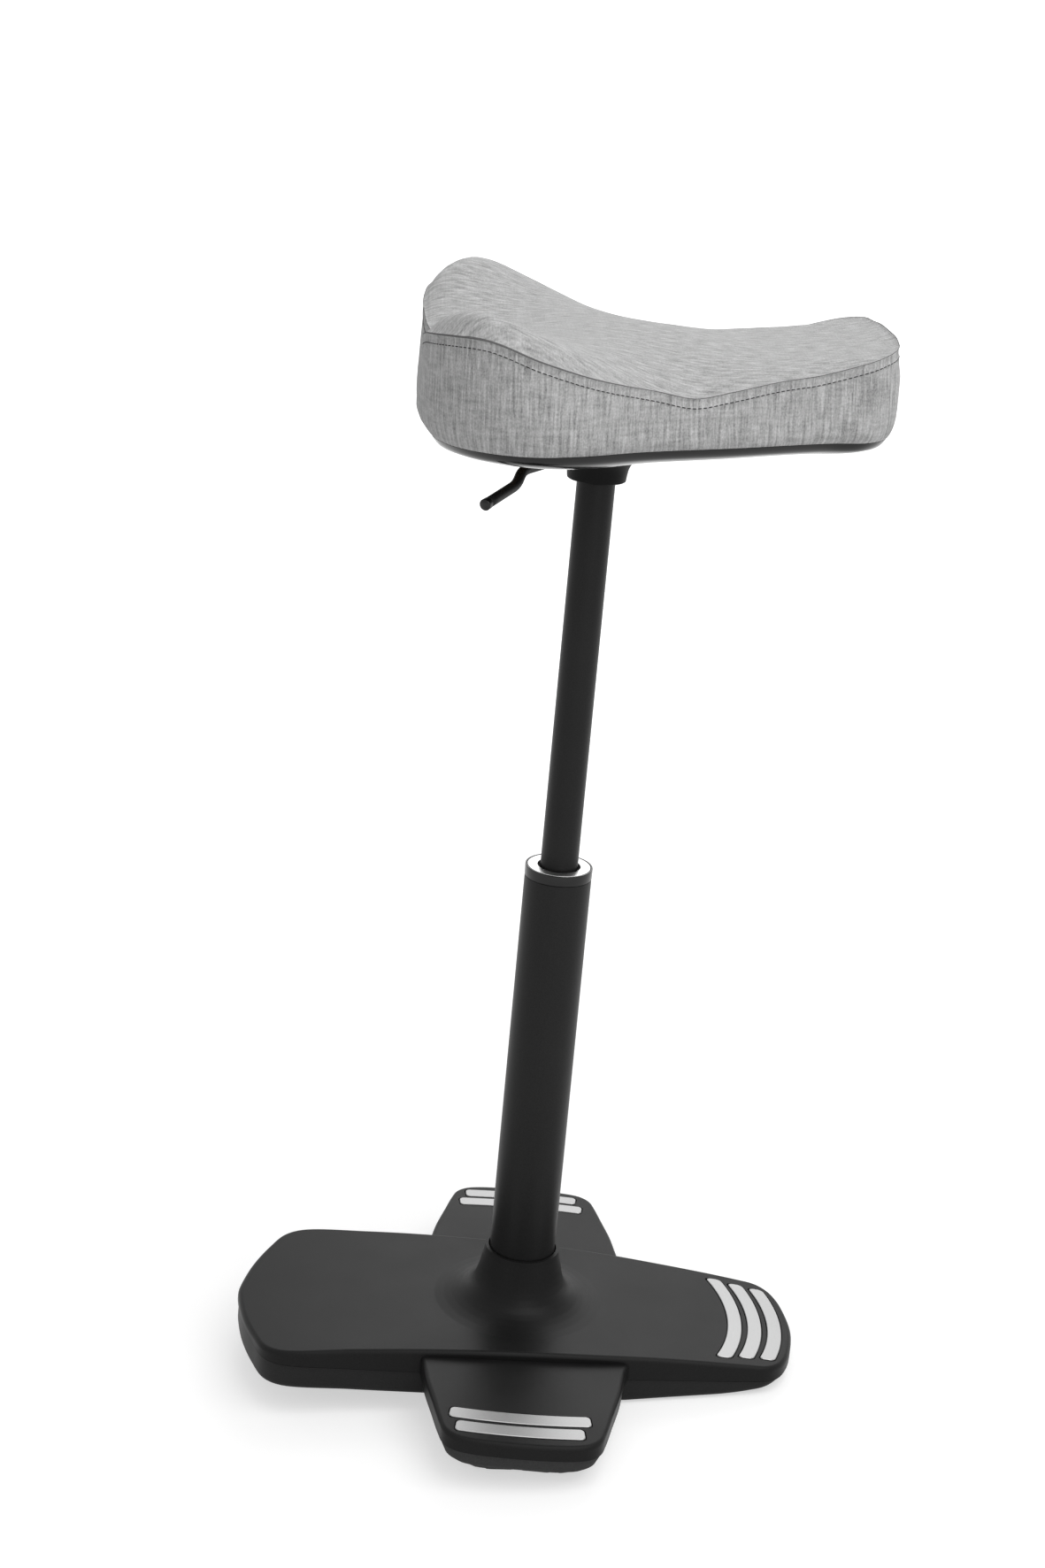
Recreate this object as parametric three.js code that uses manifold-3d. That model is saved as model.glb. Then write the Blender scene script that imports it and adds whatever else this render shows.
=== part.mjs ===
// Perch stool: a saddle seat on a leaning gas lift, over a cross-shaped rocker base.
// Millimetres, +Z up. The origin is where the column's axis meets the floor, +X is the front.
import * as THREE from 'three';
import { mergeVertices } from 'three/addons/utils/BufferGeometryUtils.js';
import Module from 'manifold-3d';

const wasm = await Module();
wasm.setup();

// Shared fits
const leanDegrees = 5.04;
const clearance = 0.3;
const overrun = 6;
const roundSides = 30;
const smallSides = 8;
const bodySides = 48;
const tabSides = 32;
const seatSides = 48;

// Base cover: one moulding with two side tabs and a collar
const bodyRear = 215;
const bodyFront = 213.5;
const bodyHalfWidth = 93.6;
const archTop = 47.2;
const archForward = 12;
const archRadius = 1920;
const seamHeight = 28;
const coverWall = 3;
const coverEdgeRound = 3;
const tabForward = 5;
const tabReach = 190;
const tabHalfWidth = 76;
const tabTop = 41;
const tabArchRadius = 2450;

// Collar round the column
const collarTop = 90;
const collarTopRadius = 28.5;
const collarWaistHeight = 60;
const collarWaistRadius = 34;
const collarFootRadius = 49;
const collarWall = 2.5;
const collarGap = 1;

// Tray under the cover, with a rear facet and a front facet that lies flat on the floor
const trayFloor = 8.7;
const trayWall = 2.5;
const trayInset = 1;
const trayRound = 4;
const frontFacetHeight = 1.3;
const frontFacetEnd = 150;
const frontCurveRadius = 250;

// Rubber that the stool rocks on
const soleFloorInset = 36;
const soleRockX = -12;
const soleBarHalfLength = 120;
const treadForward = 4;
const treadPitch = 26;
const treadWidth = 8;
const treadDepth = 2;
const treadLength = 92;
const frontPadX = 133;
const frontPadLength = 26;
const frontPadHalfWidth = 44;
const rearPadX = -172;
const rearPadLength = 34;
const rearPadHalfWidth = 48;

// Aluminium grip strips
const stripThickness = 1.3;
const stripSink = 0.7;
const frontStripWidth = 10.6;
const frontStripPitch = 15.5;
const frontStripStart = 163.6;
const frontStripRadius = 131;
const frontStripHalfLengths = [57.5, 54, 51.5];
const tabStripWidth = 11.8;
const tabStripPitch = 15.2;
const tabStripStart = 164.6;
const tabStripForward = 2;
const tabStripRadius = 463;
const tabStripHalfLengths = [50, 45.4];

// Steel inside the base
const ballastThickness = 8;
const ballastRear = 150;
const ballastFront = 58;
const ballastHalfWidth = 60;
const socketFlangeThickness = 4;
const socketFlangeRadius = 62;
const socketHeight = 46;
const socketWall = 4.2;
const boltCircle = 48;
const boltRadius = 4;
const boltHeadRadius = 6.5;
const boltHeadHeight = 5;
const boltCount = 4;
const bossRadius = 4.8;
const trayScrewRadius = 1.8;
const trayScrewLength = 14;
const trayScrewHeadRadius = 3.5;
const trayScrewHeadHeight = 1.3;
const trayScrewPlaceShares = [[-0.79, 0.52], [-0.34, 0.71], [0.66, 0.42]];

// Column and the rings at its top
const columnRadius = 25;
const columnWall = 1.8;
const columnTop = 392;
const capHeight = 8;
const capProud = 0.2;
const capWall = 1.4;
const ringHeight = 4;
const ringBore = 16;
const sleeveLength = 82;

// Gas lift
const liftRadius = 14;
const liftWall = 1.8;
const liftBottom = 312;
const liftStroke = 250;
const hubBottom = 694;
const liftIntoHub = 14;
const glandLength = 18;
const rodRadius = 5;
const rodNeckRadius = 4;
const pistonLength = 14;
const pistonGap = 2;
const clipHeight = 2.5;
const clipRadius = 8;
const endPlateThickness = 3;
const washerThickness = 2;
const washerRadius = 16;
const bearingHeight = 4;
const bumperHeight = 12;
const bumperRadius = 10;
const valveBlockLength = 28;
const valvePinRadius = 2.5;
const valvePinLength = 22;

// Seat mounting
const hubBottomRadius = 21.3;
const hubTopRadius = 42;
const hubFlareHeight = 31;
const hubFlareShares = [[0.2, 0.04], [0.36, 0.1], [0.52, 0.22], [0.66, 0.42], [0.82, 0.72], [1, 1]];
const seatPlateThickness = 2.5;
const seatPlateLength = 108;
const seatPlateWidth = 110;
const seatPlateCorner = 12;
const plateScrewRadius = 3;
const plateScrewHeadRadius = 5.5;
const plateScrewHeadHeight = 3;
const plateScrewGrip = 10;
const plateScrewEdge = 14;

// Lever that opens the valve
const leverRadius = 3.75;
const leverRise = 23;
const leverArm = 18;
const leverInnerEnd = 5;
const leverRoom = 3;
const leverPinRadius = 2;
const leverPinHalfLength = 11;
const leverTipProud = 0.35;
const leverTipLength = 6;
const leverRunX = 8;
const leverRunY = -90;
const leverRunRise = 22.5;
const leverBendX = 4;
const leverBendY = -103.5;
const leverBendRise = 15.3;
const leverEndX = -14.5;
const leverEndY = -140;
const leverEndRise = 11;

// Seat, pitched a little forward and turned a little on its column in this pose
const seatPitchDegrees = 2;
const seatYawDegrees = 2.2;
const seatRearReach = 126;
const seatFrontReach = 196.5;
const seatHalfWidth = 169;
const rimOverHub = 46;
const panDepth = 17.7;
const panDish = 55;
const panWall = 2.5;
const recessDepth = 10;
const recessMargin = 4;
const leverChannelReach = 124;
const leverChannelWidth = 22;
const boardInset = 24;
const cushionLobe = 87;
const cushionRearBulge = 10.5;
const cushionFrontBulge = 7;
const cushionDent = 12;

const lean = THREE.MathUtils.degToRad(leanDegrees);
const liftTop = hubBottom + liftIntoHub;
const leverHeight = hubBottom + leverRise;
const panRim = hubBottom + rimOverHub;
const panFloor = panRim - panDepth;
const recessHeight = panRim - recessDepth;
const seatPlateTop = recessHeight - clearance;
const hubX = recessHeight * Math.tan(lean);
const seatPitch = THREE.MathUtils.degToRad(seatPitchDegrees);
const seatYaw = THREE.MathUtils.degToRad(seatYawDegrees);

// Helpers
function solid(geometry) {
  const plain = geometry.clone();
  plain.deleteAttribute('normal');
  plain.deleteAttribute('uv');
  const merged = mergeVertices(plain, 1e-4);
  const mesh = new wasm.Mesh({
    numProp: 3,
    vertProperties: Float32Array.from(merged.attributes.position.array),
    triVerts: outwardIndex(merged),
  });
  return new wasm.Manifold(mesh);
}

function outwardIndex(geometry) {
  const place = geometry.attributes.position;
  const index = Uint32Array.from(geometry.index.array);
  const corner = [new THREE.Vector3(), new THREE.Vector3(), new THREE.Vector3()];
  let volume = 0;
  const kept = [];
  for (let i = 0; i < index.length; i += 3) {
    const [a, b, c] = [index[i], index[i + 1], index[i + 2]];
    if (a === b || b === c || c === a) continue;
    kept.push(a, b, c);
    corner.forEach((v, k) => v.fromBufferAttribute(place, index[i + k]));
    volume += corner[0].dot(corner[1].clone().cross(corner[2]));
  }
  if (volume < 0) {
    for (let i = 0; i < kept.length; i += 3) [kept[i], kept[i + 1]] = [kept[i + 1], kept[i]];
  }
  return Uint32Array.from(kept);
}

function toGeometry(manifold) {
  const mesh = manifold.getMesh();
  const geometry = new THREE.BufferGeometry();
  geometry.setAttribute('position', new THREE.BufferAttribute(Float32Array.from(mesh.vertProperties), 3));
  geometry.setIndex(new THREE.BufferAttribute(Uint32Array.from(mesh.triVerts), 1));
  geometry.computeVertexNormals();
  return geometry;
}

const cut = (body, ...tools) => tools.reduce((left, tool) => left.subtract(tool), body);
const join = (...bodies) => bodies.reduce((sum, body) => sum.add(body));

function turned(profile, sides = roundSides) {
  const points = profile.map(([radius, height]) => new THREE.Vector2(radius, height));
  if (THREE.ShapeUtils.isClockWise(points)) points.reverse();
  points.push(points[0].clone());
  return new THREE.LatheGeometry(points, sides).rotateX(Math.PI / 2);
}

function tube(inner, outer, low, high, bevel = 0, sides = roundSides) {
  const profile = [[inner, low], [outer - bevel, low]];
  if (bevel > 0) profile.push([outer, low + bevel], [outer, high - bevel]);
  profile.push([outer - bevel, high], [inner, high]);
  return turned(profile, sides);
}

const rod = (radius, low, high, bevel = 0, sides = smallSides) => tube(0, radius, low, high, bevel, sides);

function block(lengthX, lengthY, low, high) {
  return new THREE.BoxGeometry(lengthX, lengthY, high - low).translate(0, 0, (low + high) / 2);
}

// A closed outline that is the same on both sides of y = 0, from its points on one side
function mirroredLoop(half, count) {
  const upper = half.map(([x, y]) => new THREE.Vector3(x, y, 0));
  const lower = upper.slice(1, -1).reverse().map((p) => new THREE.Vector3(p.x, -p.y, 0));
  const curve = new THREE.CatmullRomCurve3([...upper, ...lower], true, 'centripetal');
  const spaced = curve.getSpacedPoints(count);
  const loop = [];
  for (let i = 0; i < count; i += 1) {
    const mate = spaced[(count - i) % count];
    loop.push(new THREE.Vector2((spaced[i].x + mate.x) / 2, (spaced[i].y - mate.y) / 2));
  }
  return loop;
}

// Moves a point of an outline towards the spine of its piece
function inset(point, spine, distance) {
  const span = spine[1].clone().sub(spine[0]);
  const along = point.clone().sub(spine[0]).dot(span) / span.lengthSq();
  const foot = spine[0].clone().addScaledVector(span, THREE.MathUtils.clamp(along, 0, 1));
  const way = foot.sub(point);
  return point.clone().addScaledVector(way.normalize(), distance);
}

function ring(loop, spine, distance, height) {
  return loop.map((point) => {
    const moved = inset(point, spine, distance);
    return new THREE.Vector3(moved.x, moved.y, height(moved.x, moved.y));
  });
}

// A body from rings of matching points, closed by strips between mirrored points
function lofted(rings) {
  const count = rings[0].length;
  const places = rings.flat().flatMap((p) => [p.x, p.y, p.z]);
  const index = [];
  for (let level = 0; level + 1 < rings.length; level += 1) {
    for (let i = 0; i < count; i += 1) {
      const next = (i + 1) % count;
      const [a, b] = [level * count + i, level * count + next];
      index.push(a, b, b + count, a, b + count, a + count);
    }
  }
  for (const [start, flip] of [[0, true], [(rings.length - 1) * count, false]]) {
    for (let i = 0; i < count / 2; i += 1) {
      const corners = [i, i + 1, count - i - 1, (count - i) % count].map((k) => start + k);
      if (flip) corners.reverse();
      index.push(corners[0], corners[1], corners[2], corners[0], corners[2], corners[3]);
    }
  }
  const geometry = new THREE.BufferGeometry();
  geometry.setAttribute('position', new THREE.Float32BufferAttribute(places, 3));
  geometry.setIndex(index);
  return geometry;
}

function interpolate(table, x) {
  if (x <= table[0][0]) return table[0][1];
  for (let i = 1; i < table.length; i += 1) {
    const [[x0, y0], [x1, y1]] = [table[i - 1], table[i]];
    if (x <= x1) {
      const part = (x - x0) / (x1 - x0);
      return THREE.MathUtils.lerp(y0, y1, part * part * (3 - 2 * part));
    }
  }
  return table[table.length - 1][1];
}

function extrudedShape(shape, low, high, curveSegments = 4) {
  const settings = { depth: high - low, bevelEnabled: false, curveSegments };
  return new THREE.ExtrudeGeometry(shape, settings).translate(0, 0, low);
}

function roundedShape(x0, x1, halfWidth, corner) {
  const shape = new THREE.Shape();
  shape.moveTo(x0 + corner, -halfWidth);
  shape.lineTo(x1 - corner, -halfWidth);
  shape.absarc(x1 - corner, -halfWidth + corner, corner, -Math.PI / 2, 0);
  shape.lineTo(x1, halfWidth - corner);
  shape.absarc(x1 - corner, halfWidth - corner, corner, 0, Math.PI / 2);
  shape.lineTo(x0 + corner, halfWidth);
  shape.absarc(x0 + corner, halfWidth - corner, corner, Math.PI / 2, Math.PI);
  shape.lineTo(x0, -halfWidth + corner);
  shape.absarc(x0 + corner, -halfWidth + corner, corner, Math.PI, Math.PI * 1.5);
  return shape;
}

function roundHole(x, y, radius) {
  return new THREE.Path().absarc(x, y, radius, 0, Math.PI * 2, true);
}

// Looks of each material
const looks = {
  blackPlastic: { color: 0x2b2b2c, roughness: 0.6, metalness: 0 },
  blackPaint: { color: 0x262627, roughness: 0.45, metalness: 0.2 },
  glossPlastic: { color: 0x141414, roughness: 0.2, metalness: 0 },
  rubber: { color: 0x1d1d1d, roughness: 0.9, metalness: 0 },
  aluminium: { color: 0xcfcfd0, roughness: 0.4, metalness: 0.9 },
  steel: { color: 0x9a9b9d, roughness: 0.35, metalness: 1 },
  wood: { color: 0xb08a5a, roughness: 0.7, metalness: 0 },
  fabric: { color: 0xa9a9aa, roughness: 0.95, metalness: 0 },
};

const stool = new THREE.Group();
const leaning = new THREE.Group();
leaning.rotation.y = lean;
stool.add(leaning);
const seat = new THREE.Group();
const seatPivot = new THREE.Vector3(hubX, 0, recessHeight);
seat.rotation.set(0, seatPitch, seatYaw);
seat.position.copy(seatPivot).sub(seatPivot.clone().applyEuler(seat.rotation));
stool.add(seat);

function addPiece(group, name, geometry, look) {
  const mesh = new THREE.Mesh(geometry, new THREE.MeshStandardMaterial(looks[look]));
  mesh.name = name;
  group.add(mesh);
}

// Outlines of the base, square to the column
const bodyShares = [
  [-1, 0], [-0.991, 0.17], [-0.965, 0.43], [-0.921, 0.70], [-0.872, 0.91], [-0.81, 0.99],
  [-0.56, 0.973], [-0.316, 0.942], [0.047, 0.891], [0.234, 0.859], [0.515, 0.783], [0.829, 0.698],
  [0.895, 0.668], [0.937, 0.588], [0.965, 0.47], [0.986, 0.288], [1, 0],
];
const bodyLoop = mirroredLoop(
  bodyShares.map(([x, y]) => [x * (x < 0 ? bodyRear : bodyFront), y * bodyHalfWidth]), bodySides);
const bodySpine = [
  new THREE.Vector2(-bodyRear + bodyHalfWidth, 0),
  new THREE.Vector2(bodyFront - bodyHalfWidth * 0.7, 0),
];
const tabShares = [
  [0.3, 1.08], [0.46, 1], [0.61, 0.94], [0.75, 0.86], [0.87, 0.79], [0.93, 0.74], [0.968, 0.645],
  [0.987, 0.5], [0.997, 0.26], [1, 0],
];
const tabRootShare = 0.3;
const tabSpine = [
  new THREE.Vector2(tabReach * tabRootShare, 0),
  new THREE.Vector2(tabReach - tabHalfWidth, 0),
];
// Drawn along +X from the root, then turned to either side
const tabLoop = mirroredLoop(
  [[tabReach * tabRootShare, 0], ...tabShares.map(([x, y]) => [x * tabReach, y * tabHalfWidth])], tabSides);

const archHeight = (x) => archTop - (x - archForward) ** 2 / (2 * archRadius);
const tabRoot = tabReach * tabShares[1][0];
const tabHeight = (reach) => tabTop - Math.max(reach - tabRoot, 0) ** 2 / (2 * tabArchRadius);
const trayFacet = (x) => (frontFacetHeight + x * Math.sin(lean)) / Math.cos(lean);
const frontCurve = (x) => Math.max(x - frontFacetEnd, 0) ** 2 / (2 * frontCurveRadius);
const trayBottom = (x) => Math.max(trayFloor, trayFacet(x) + frontCurve(x));

function toSide(geometry, side) {
  return geometry.rotateZ(side * Math.PI / 2).translate(tabForward, 0, 0);
}

// Rounds the upper edge over in two steps
const edgeSteps = [0, 0.5, 1].map((share) => share * Math.PI / 2);

function coverBody(loop, spine, top, grow, low) {
  const edge = coverEdgeRound;
  const rings = [ring(loop, spine, grow, () => low)];
  const steps = grow > 0 ? [edgeSteps[1]] : edgeSteps;
  for (const angle of steps) {
    const inward = grow + edge * (1 - Math.cos(angle));
    rings.push(ring(loop, spine, inward, (x, y) => top(x, y) - grow - edge * (1 - Math.sin(angle))));
  }
  return solid(lofted(rings));
}

const collarBore = columnRadius + collarGap;

function collarProfile(inward) {
  const profile = [[collarFootRadius + overrun - inward, archTop - overrun]];
  const steps = 5;
  for (let i = 0; i <= steps; i += 1) {
    const part = i / steps;
    const ease = (1 - part) ** 3;
    const radius = THREE.MathUtils.lerp(collarWaistRadius, collarFootRadius, ease);
    profile.push([radius - inward, THREE.MathUtils.lerp(archTop, collarWaistHeight, part)]);
  }
  return profile;
}

function baseCover() {
  const archTopAt = (x) => archHeight(x);
  const tabTopAt = (x) => tabHeight(x);
  const tab = (side, grow, low) => {
    const body = coverBody(tabLoop, tabSpine, tabTopAt, grow, low);
    return body.rotate([0, 0, side * 90]).translate([tabForward, 0, 0]);
  };
  const collar = solid(turned([
    [collarBore, collarTop], [collarBore, archTop - overrun], ...collarProfile(0),
    [collarTopRadius, collarTop],
  ]));
  const outer = join(
    coverBody(bodyLoop, bodySpine, archTopAt, 0, seamHeight), tab(1, 0, seamHeight),
    tab(-1, 0, seamHeight), collar);
  const hollowLow = seamHeight - overrun;
  const conePart = solid(turned([
    [0, hollowLow], [collarFootRadius - collarWall, hollowLow], ...collarProfile(collarWall).slice(1),
    [collarBore, collarTop - overrun], [0, collarTop - overrun],
  ]));
  const hollow = join(
    coverBody(bodyLoop, bodySpine, archTopAt, coverWall, hollowLow), tab(1, coverWall, hollowLow),
    tab(-1, coverWall, hollowLow), conePart);
  let cover = cut(outer, hollow, solid(rod(collarBore, hollowLow, collarTop + overrun, 0, roundSides)));
  for (const [x, y] of trayScrewPlaces()) {
    const low = trayBottom(x + bossRadius) + trayWall + clearance;
    const boss = solid(rod(bossRadius, low, archHeight(x) - coverWall / 2).translate(x, y, 0));
    const bore = trayScrewRadius + clearance;
    const hole = solid(rod(bore, low - overrun, low + trayScrewLength).translate(x, y, 0));
    cover = cut(join(cover, boss), hole);
  }
  for (const strip of stripPlaces()) {
    cover = cut(cover, solid(stripBody(strip, clearance, -stripSink - clearance, overrun)));
  }
  return toGeometry(cover);
}

function trayScrewPlaces() {
  const places = [];
  for (const [along, across] of trayScrewPlaceShares) {
    const x = along * (along < 0 ? bodyRear : bodyFront);
    for (const side of [-1, 1]) places.push([x, side * across * bodyHalfWidth]);
  }
  return places;
}

function trayRings(grow, top) {
  const levels = [[0, 1], [0, 0.25], [0.3, 0.08], [1, 0]];
  const rings = levels.map(([share, rise]) => ring(
    bodyLoop, bodySpine, trayInset + grow + share * trayRound,
    (x) => trayBottom(x) + grow + rise * (seamHeight - clearance - trayBottom(x))));
  rings[0] = ring(bodyLoop, bodySpine, trayInset + grow, () => top);
  return rings.reverse();
}

function baseTray() {
  let tray = cut(solid(lofted(trayRings(0, seamHeight - clearance))),
    solid(lofted(trayRings(trayWall, seamHeight + overrun))));
  for (const [x, y] of trayScrewPlaces()) {
    const low = trayBottom(x);
    const through = solid(rod(trayScrewRadius + clearance, low - overrun, low + overrun).translate(x, y, 0));
    const seat = low + trayScrewHeadHeight + clearance;
    const sink = solid(rod(trayScrewHeadRadius + clearance, low - overrun, seat).translate(x, y, 0));
    tray = cut(tray, through, sink);
  }
  return toGeometry(tray);
}

function screw(place, radius, headRadius, [headEnd, headSeat, tip]) {
  return turned([
    [0, headEnd], [headRadius, headEnd], [headRadius, headSeat], [radius, headSeat], [radius, tip], [0, tip],
  ], smallSides).translate(place[0], place[1], 0);
}

function trayScrew(place) {
  const head = trayBottom(place[0]) + trayScrewHeadHeight;
  const heights = [trayBottom(place[0]) + clearance, head, head + trayWall + trayScrewLength - overrun];
  return screw(place, trayScrewRadius, trayScrewHeadRadius, heights);
}

// Rubber sole: a pad under each tab and a bar between them, cut to two facets with tread grooves
function rockerSole() {
  const levels = [[0, seamHeight - clearance], [0.12, 0.62 * seamHeight], [0.5, 0.27 * seamHeight],
    [1, -overrun]];
  const tabInset = coverWall / 2;
  const pad = solid(lofted(levels.map(([share, height]) => ring(
    tabLoop, tabSpine, tabInset + share * (soleFloorInset - tabInset), () => height)).reverse()));
  const pads = [1, -1].map((side) => pad.rotate([0, 0, side * 90]).translate([tabForward, 0, 0]));
  const barHalf = tabHalfWidth * tabShares[5][1] - soleFloorInset / 2;
  const bar = solid(block(2 * barHalf, 2 * soleBarHalfLength, -overrun, trayFloor - clearance)
    .translate(tabForward, 0, 0));
  const trayRoom = solid(lofted([
    ring(bodyLoop, bodySpine, trayInset - clearance, () => seamHeight + overrun),
    ring(bodyLoop, bodySpine, trayInset - clearance, (x) => trayBottom(x) - clearance),
  ].reverse()));
  const rockHeight = soleRockX * Math.tan(lean);
  const outline = new THREE.Shape();
  outline.moveTo(-bodyRear, rockHeight);
  outline.lineTo(soleRockX, rockHeight);
  outline.lineTo(bodyFront, bodyFront * Math.tan(lean));
  outline.lineTo(bodyFront, archTop);
  outline.lineTo(-bodyRear, archTop);
  const room = solid(new THREE.ExtrudeGeometry(outline, { depth: 2 * tabReach, bevelEnabled: false })
    .rotateX(Math.PI / 2).translate(0, tabReach, 0));
  let sole = cut(join(bar, ...pads), trayRoom).intersect(room);
  for (const step of [-1, 0, 1]) {
    const x = treadForward + step * treadPitch;
    const bottom = Math.max(rockHeight, x * Math.tan(lean));
    const groove = solid(block(treadWidth, treadLength, bottom - overrun, bottom + treadDepth));
    for (const side of [-1, 1]) {
      sole = cut(sole, groove.translate([x, side * (tabReach - treadLength / 2), 0]));
    }
  }
  return toGeometry(sole);
}

// The front pad is level, because the front facet lies flat in this pose
function frontPad() {
  const half = frontPadLength / 2;
  const shape = roundedShape(frontPadX - half, frontPadX + half, frontPadHalfWidth, half / 2);
  return extrudedShape(shape, 0, frontFacetHeight - clearance);
}

function rearPad() {
  const half = rearPadLength / 2;
  const shape = roundedShape(rearPadX - half, rearPadX + half, rearPadHalfWidth, half / 2);
  return extrudedShape(shape, soleRockX * Math.tan(lean), trayFloor - clearance);
}

// Grip strips: arcs of flat bar let into the cover
function stripPlaces() {
  const places = [];
  frontStripHalfLengths.forEach((halfLength, i) => places.push({
    name: `front_grip_${i + 1}`, start: frontStripStart + i * frontStripPitch, width: frontStripWidth,
    radius: frontStripRadius, halfLength, height: archHeight, turn: 0, shift: 0, endsAlongX: true,
  }));
  for (const [side, word] of [[-1, 'near'], [1, 'far']]) {
    tabStripHalfLengths.forEach((halfLength, i) => places.push({
      name: `${word}_grip_${i === 0 ? 'inner' : 'outer'}`, start: tabStripStart - tabStripWidth
      + i * tabStripPitch, width: tabStripWidth, radius: tabStripRadius, halfLength,
      height: tabHeight, turn: side * Math.PI / 2, shift: tabStripForward, endsAlongX: false,
    }));
  }
  return places;
}

function stripBody(strip, grow, low, high) {
  const centre = strip.start - strip.radius;
  const steps = 10;
  const arc = (radius, height) => Array.from({ length: steps + 1 }, (_, i) => {
    const halfAngle = Math.asin((strip.halfLength + grow) / (strip.endsAlongX ? radius : strip.radius));
    const angle = THREE.MathUtils.lerp(-halfAngle, halfAngle, i / steps);
    const x = centre + radius * Math.cos(angle);
    return new THREE.Vector3(x, radius * Math.sin(angle), strip.height(x) + height);
  });
  const inner = strip.radius - grow;
  const outer = strip.radius + strip.width + grow;
  const rows = [arc(inner, low), arc(outer, low), arc(outer, high), arc(inner, high)];
  const places = rows.flat().flatMap((p) => [p.x, p.y, p.z]);
  const at = (row, i) => (row % rows.length) * (steps + 1) + i;
  const index = [at(0, 0), at(1, 0), at(2, 0), at(0, 0), at(2, 0), at(3, 0)];
  index.push(at(0, steps), at(2, steps), at(1, steps), at(0, steps), at(3, steps), at(2, steps));
  for (let row = 0; row < rows.length; row += 1) {
    for (let i = 0; i < steps; i += 1) {
      const [a, b, c, d] = [at(row, i), at(row, i + 1), at(row + 1, i + 1), at(row + 1, i)];
      index.push(a, b, c, a, c, d);
    }
  }
  const geometry = new THREE.BufferGeometry();
  geometry.setAttribute('position', new THREE.Float32BufferAttribute(places, 3));
  geometry.setIndex(index);
  return geometry.rotateZ(strip.turn).translate(strip.shift, 0, 0);
}

// Heights in the base, from the tray's floor up
const insideFloor = trayFloor + trayWall + clearance;
const ballastTop = insideFloor + ballastThickness;
const flangeBottom = ballastTop + clearance;
const flangeTop = flangeBottom + socketFlangeThickness;

function boltPlaces() {
  return Array.from({ length: boltCount }, (_, i) => {
    const angle = (i + 0.5) / boltCount * Math.PI * 2;
    return [boltCircle * Math.cos(angle), boltCircle * Math.sin(angle)];
  });
}

function ballastPlate() {
  const shape = roundedShape(-ballastRear, ballastFront, ballastHalfWidth, seatPlateCorner);
  shape.holes.push(roundHole(0, 0, collarBore));
  for (const [x, y] of boltPlaces()) shape.holes.push(roundHole(x, y, boltRadius + clearance));
  return extrudedShape(shape, insideFloor, ballastTop, smallSides);
}

function columnSocket() {
  const bore = columnRadius + clearance;
  const outer = bore + socketWall;
  const socket = solid(turned([
    [bore, flangeBottom], [socketFlangeRadius, flangeBottom], [socketFlangeRadius, flangeTop],
    [outer + socketWall, flangeTop], [outer, flangeTop + socketWall],
    [outer, flangeBottom + socketHeight], [bore, flangeBottom + socketHeight],
  ]));
  const holes = boltPlaces().map(([x, y]) => solid(
    rod(boltRadius + clearance, flangeBottom - overrun, flangeTop + overrun).translate(x, y, 0)));
  return toGeometry(cut(socket, ...holes));
}

function socketBolt(place) {
  const seat = flangeTop + clearance;
  return screw(place, boltRadius, boltHeadRadius, [seat + boltHeadHeight, seat, insideFloor]);
}

addPiece(leaning, 'base_cover', baseCover(), 'blackPlastic');
addPiece(leaning, 'base_tray', baseTray(), 'blackPlastic');
trayScrewPlaces().forEach((place, i) => {
  addPiece(leaning, `tray_screw_${i + 1}`, trayScrew(place), 'steel');
});
addPiece(leaning, 'ballast_plate', ballastPlate(), 'steel');
addPiece(leaning, 'column_socket', columnSocket(), 'steel');
boltPlaces().forEach((place, i) => {
  addPiece(leaning, `socket_bolt_${i + 1}`, socketBolt(place), 'steel');
});
addPiece(leaning, 'rocker_sole', rockerSole(), 'rubber');
addPiece(leaning, 'rear_pad', rearPad(), 'rubber');
addPiece(stool, 'front_pad', frontPad(), 'rubber');
for (const strip of stripPlaces()) {
  addPiece(leaning, strip.name, stripBody(strip, 0, -stripSink, stripThickness - stripSink), 'aluminium');
}

// Column, its guide and the rings at its top
const columnBore = columnRadius - columnWall;
const sleeveRadius = columnBore - clearance;
const capBottom = columnTop + clearance;
const capTop = columnTop + capHeight;
const sleeveTop = capTop - ringHeight - clearance;
addPiece(leaning, 'column_tube', tube(columnBore, columnRadius, insideFloor, columnTop), 'blackPaint');
addPiece(leaning, 'column_cap', tube(
  columnRadius + capProud - capWall, columnRadius + capProud, capBottom, capTop, capWall / 2), 'glossPlastic');
addPiece(leaning, 'guide_ring', tube(
  ringBore, columnRadius + capProud - capWall - clearance, capTop - ringHeight, capTop), 'aluminium');
addPiece(leaning, 'guide_sleeve', tube(
  liftRadius + clearance, sleeveRadius, sleeveTop - sleeveLength, sleeveTop), 'blackPlastic');

// Thrust bearing at the foot of the column
const endPlateBottom = insideFloor + clipHeight + 2 * clearance;
const lowerWasherBottom = endPlateBottom + endPlateThickness + clearance;
const bearingBottom = lowerWasherBottom + washerThickness + clearance;
const upperWasherBottom = bearingBottom + bearingHeight + clearance;
const bumperBottom = upperWasherBottom + washerThickness + clearance;
const neckBore = rodNeckRadius + clearance;
addPiece(leaning, 'end_plate', tube(
  neckBore, sleeveRadius, endPlateBottom, endPlateBottom + endPlateThickness), 'steel');
addPiece(leaning, 'lower_thrust_washer', tube(
  neckBore, washerRadius, lowerWasherBottom, lowerWasherBottom + washerThickness), 'steel');

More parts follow.
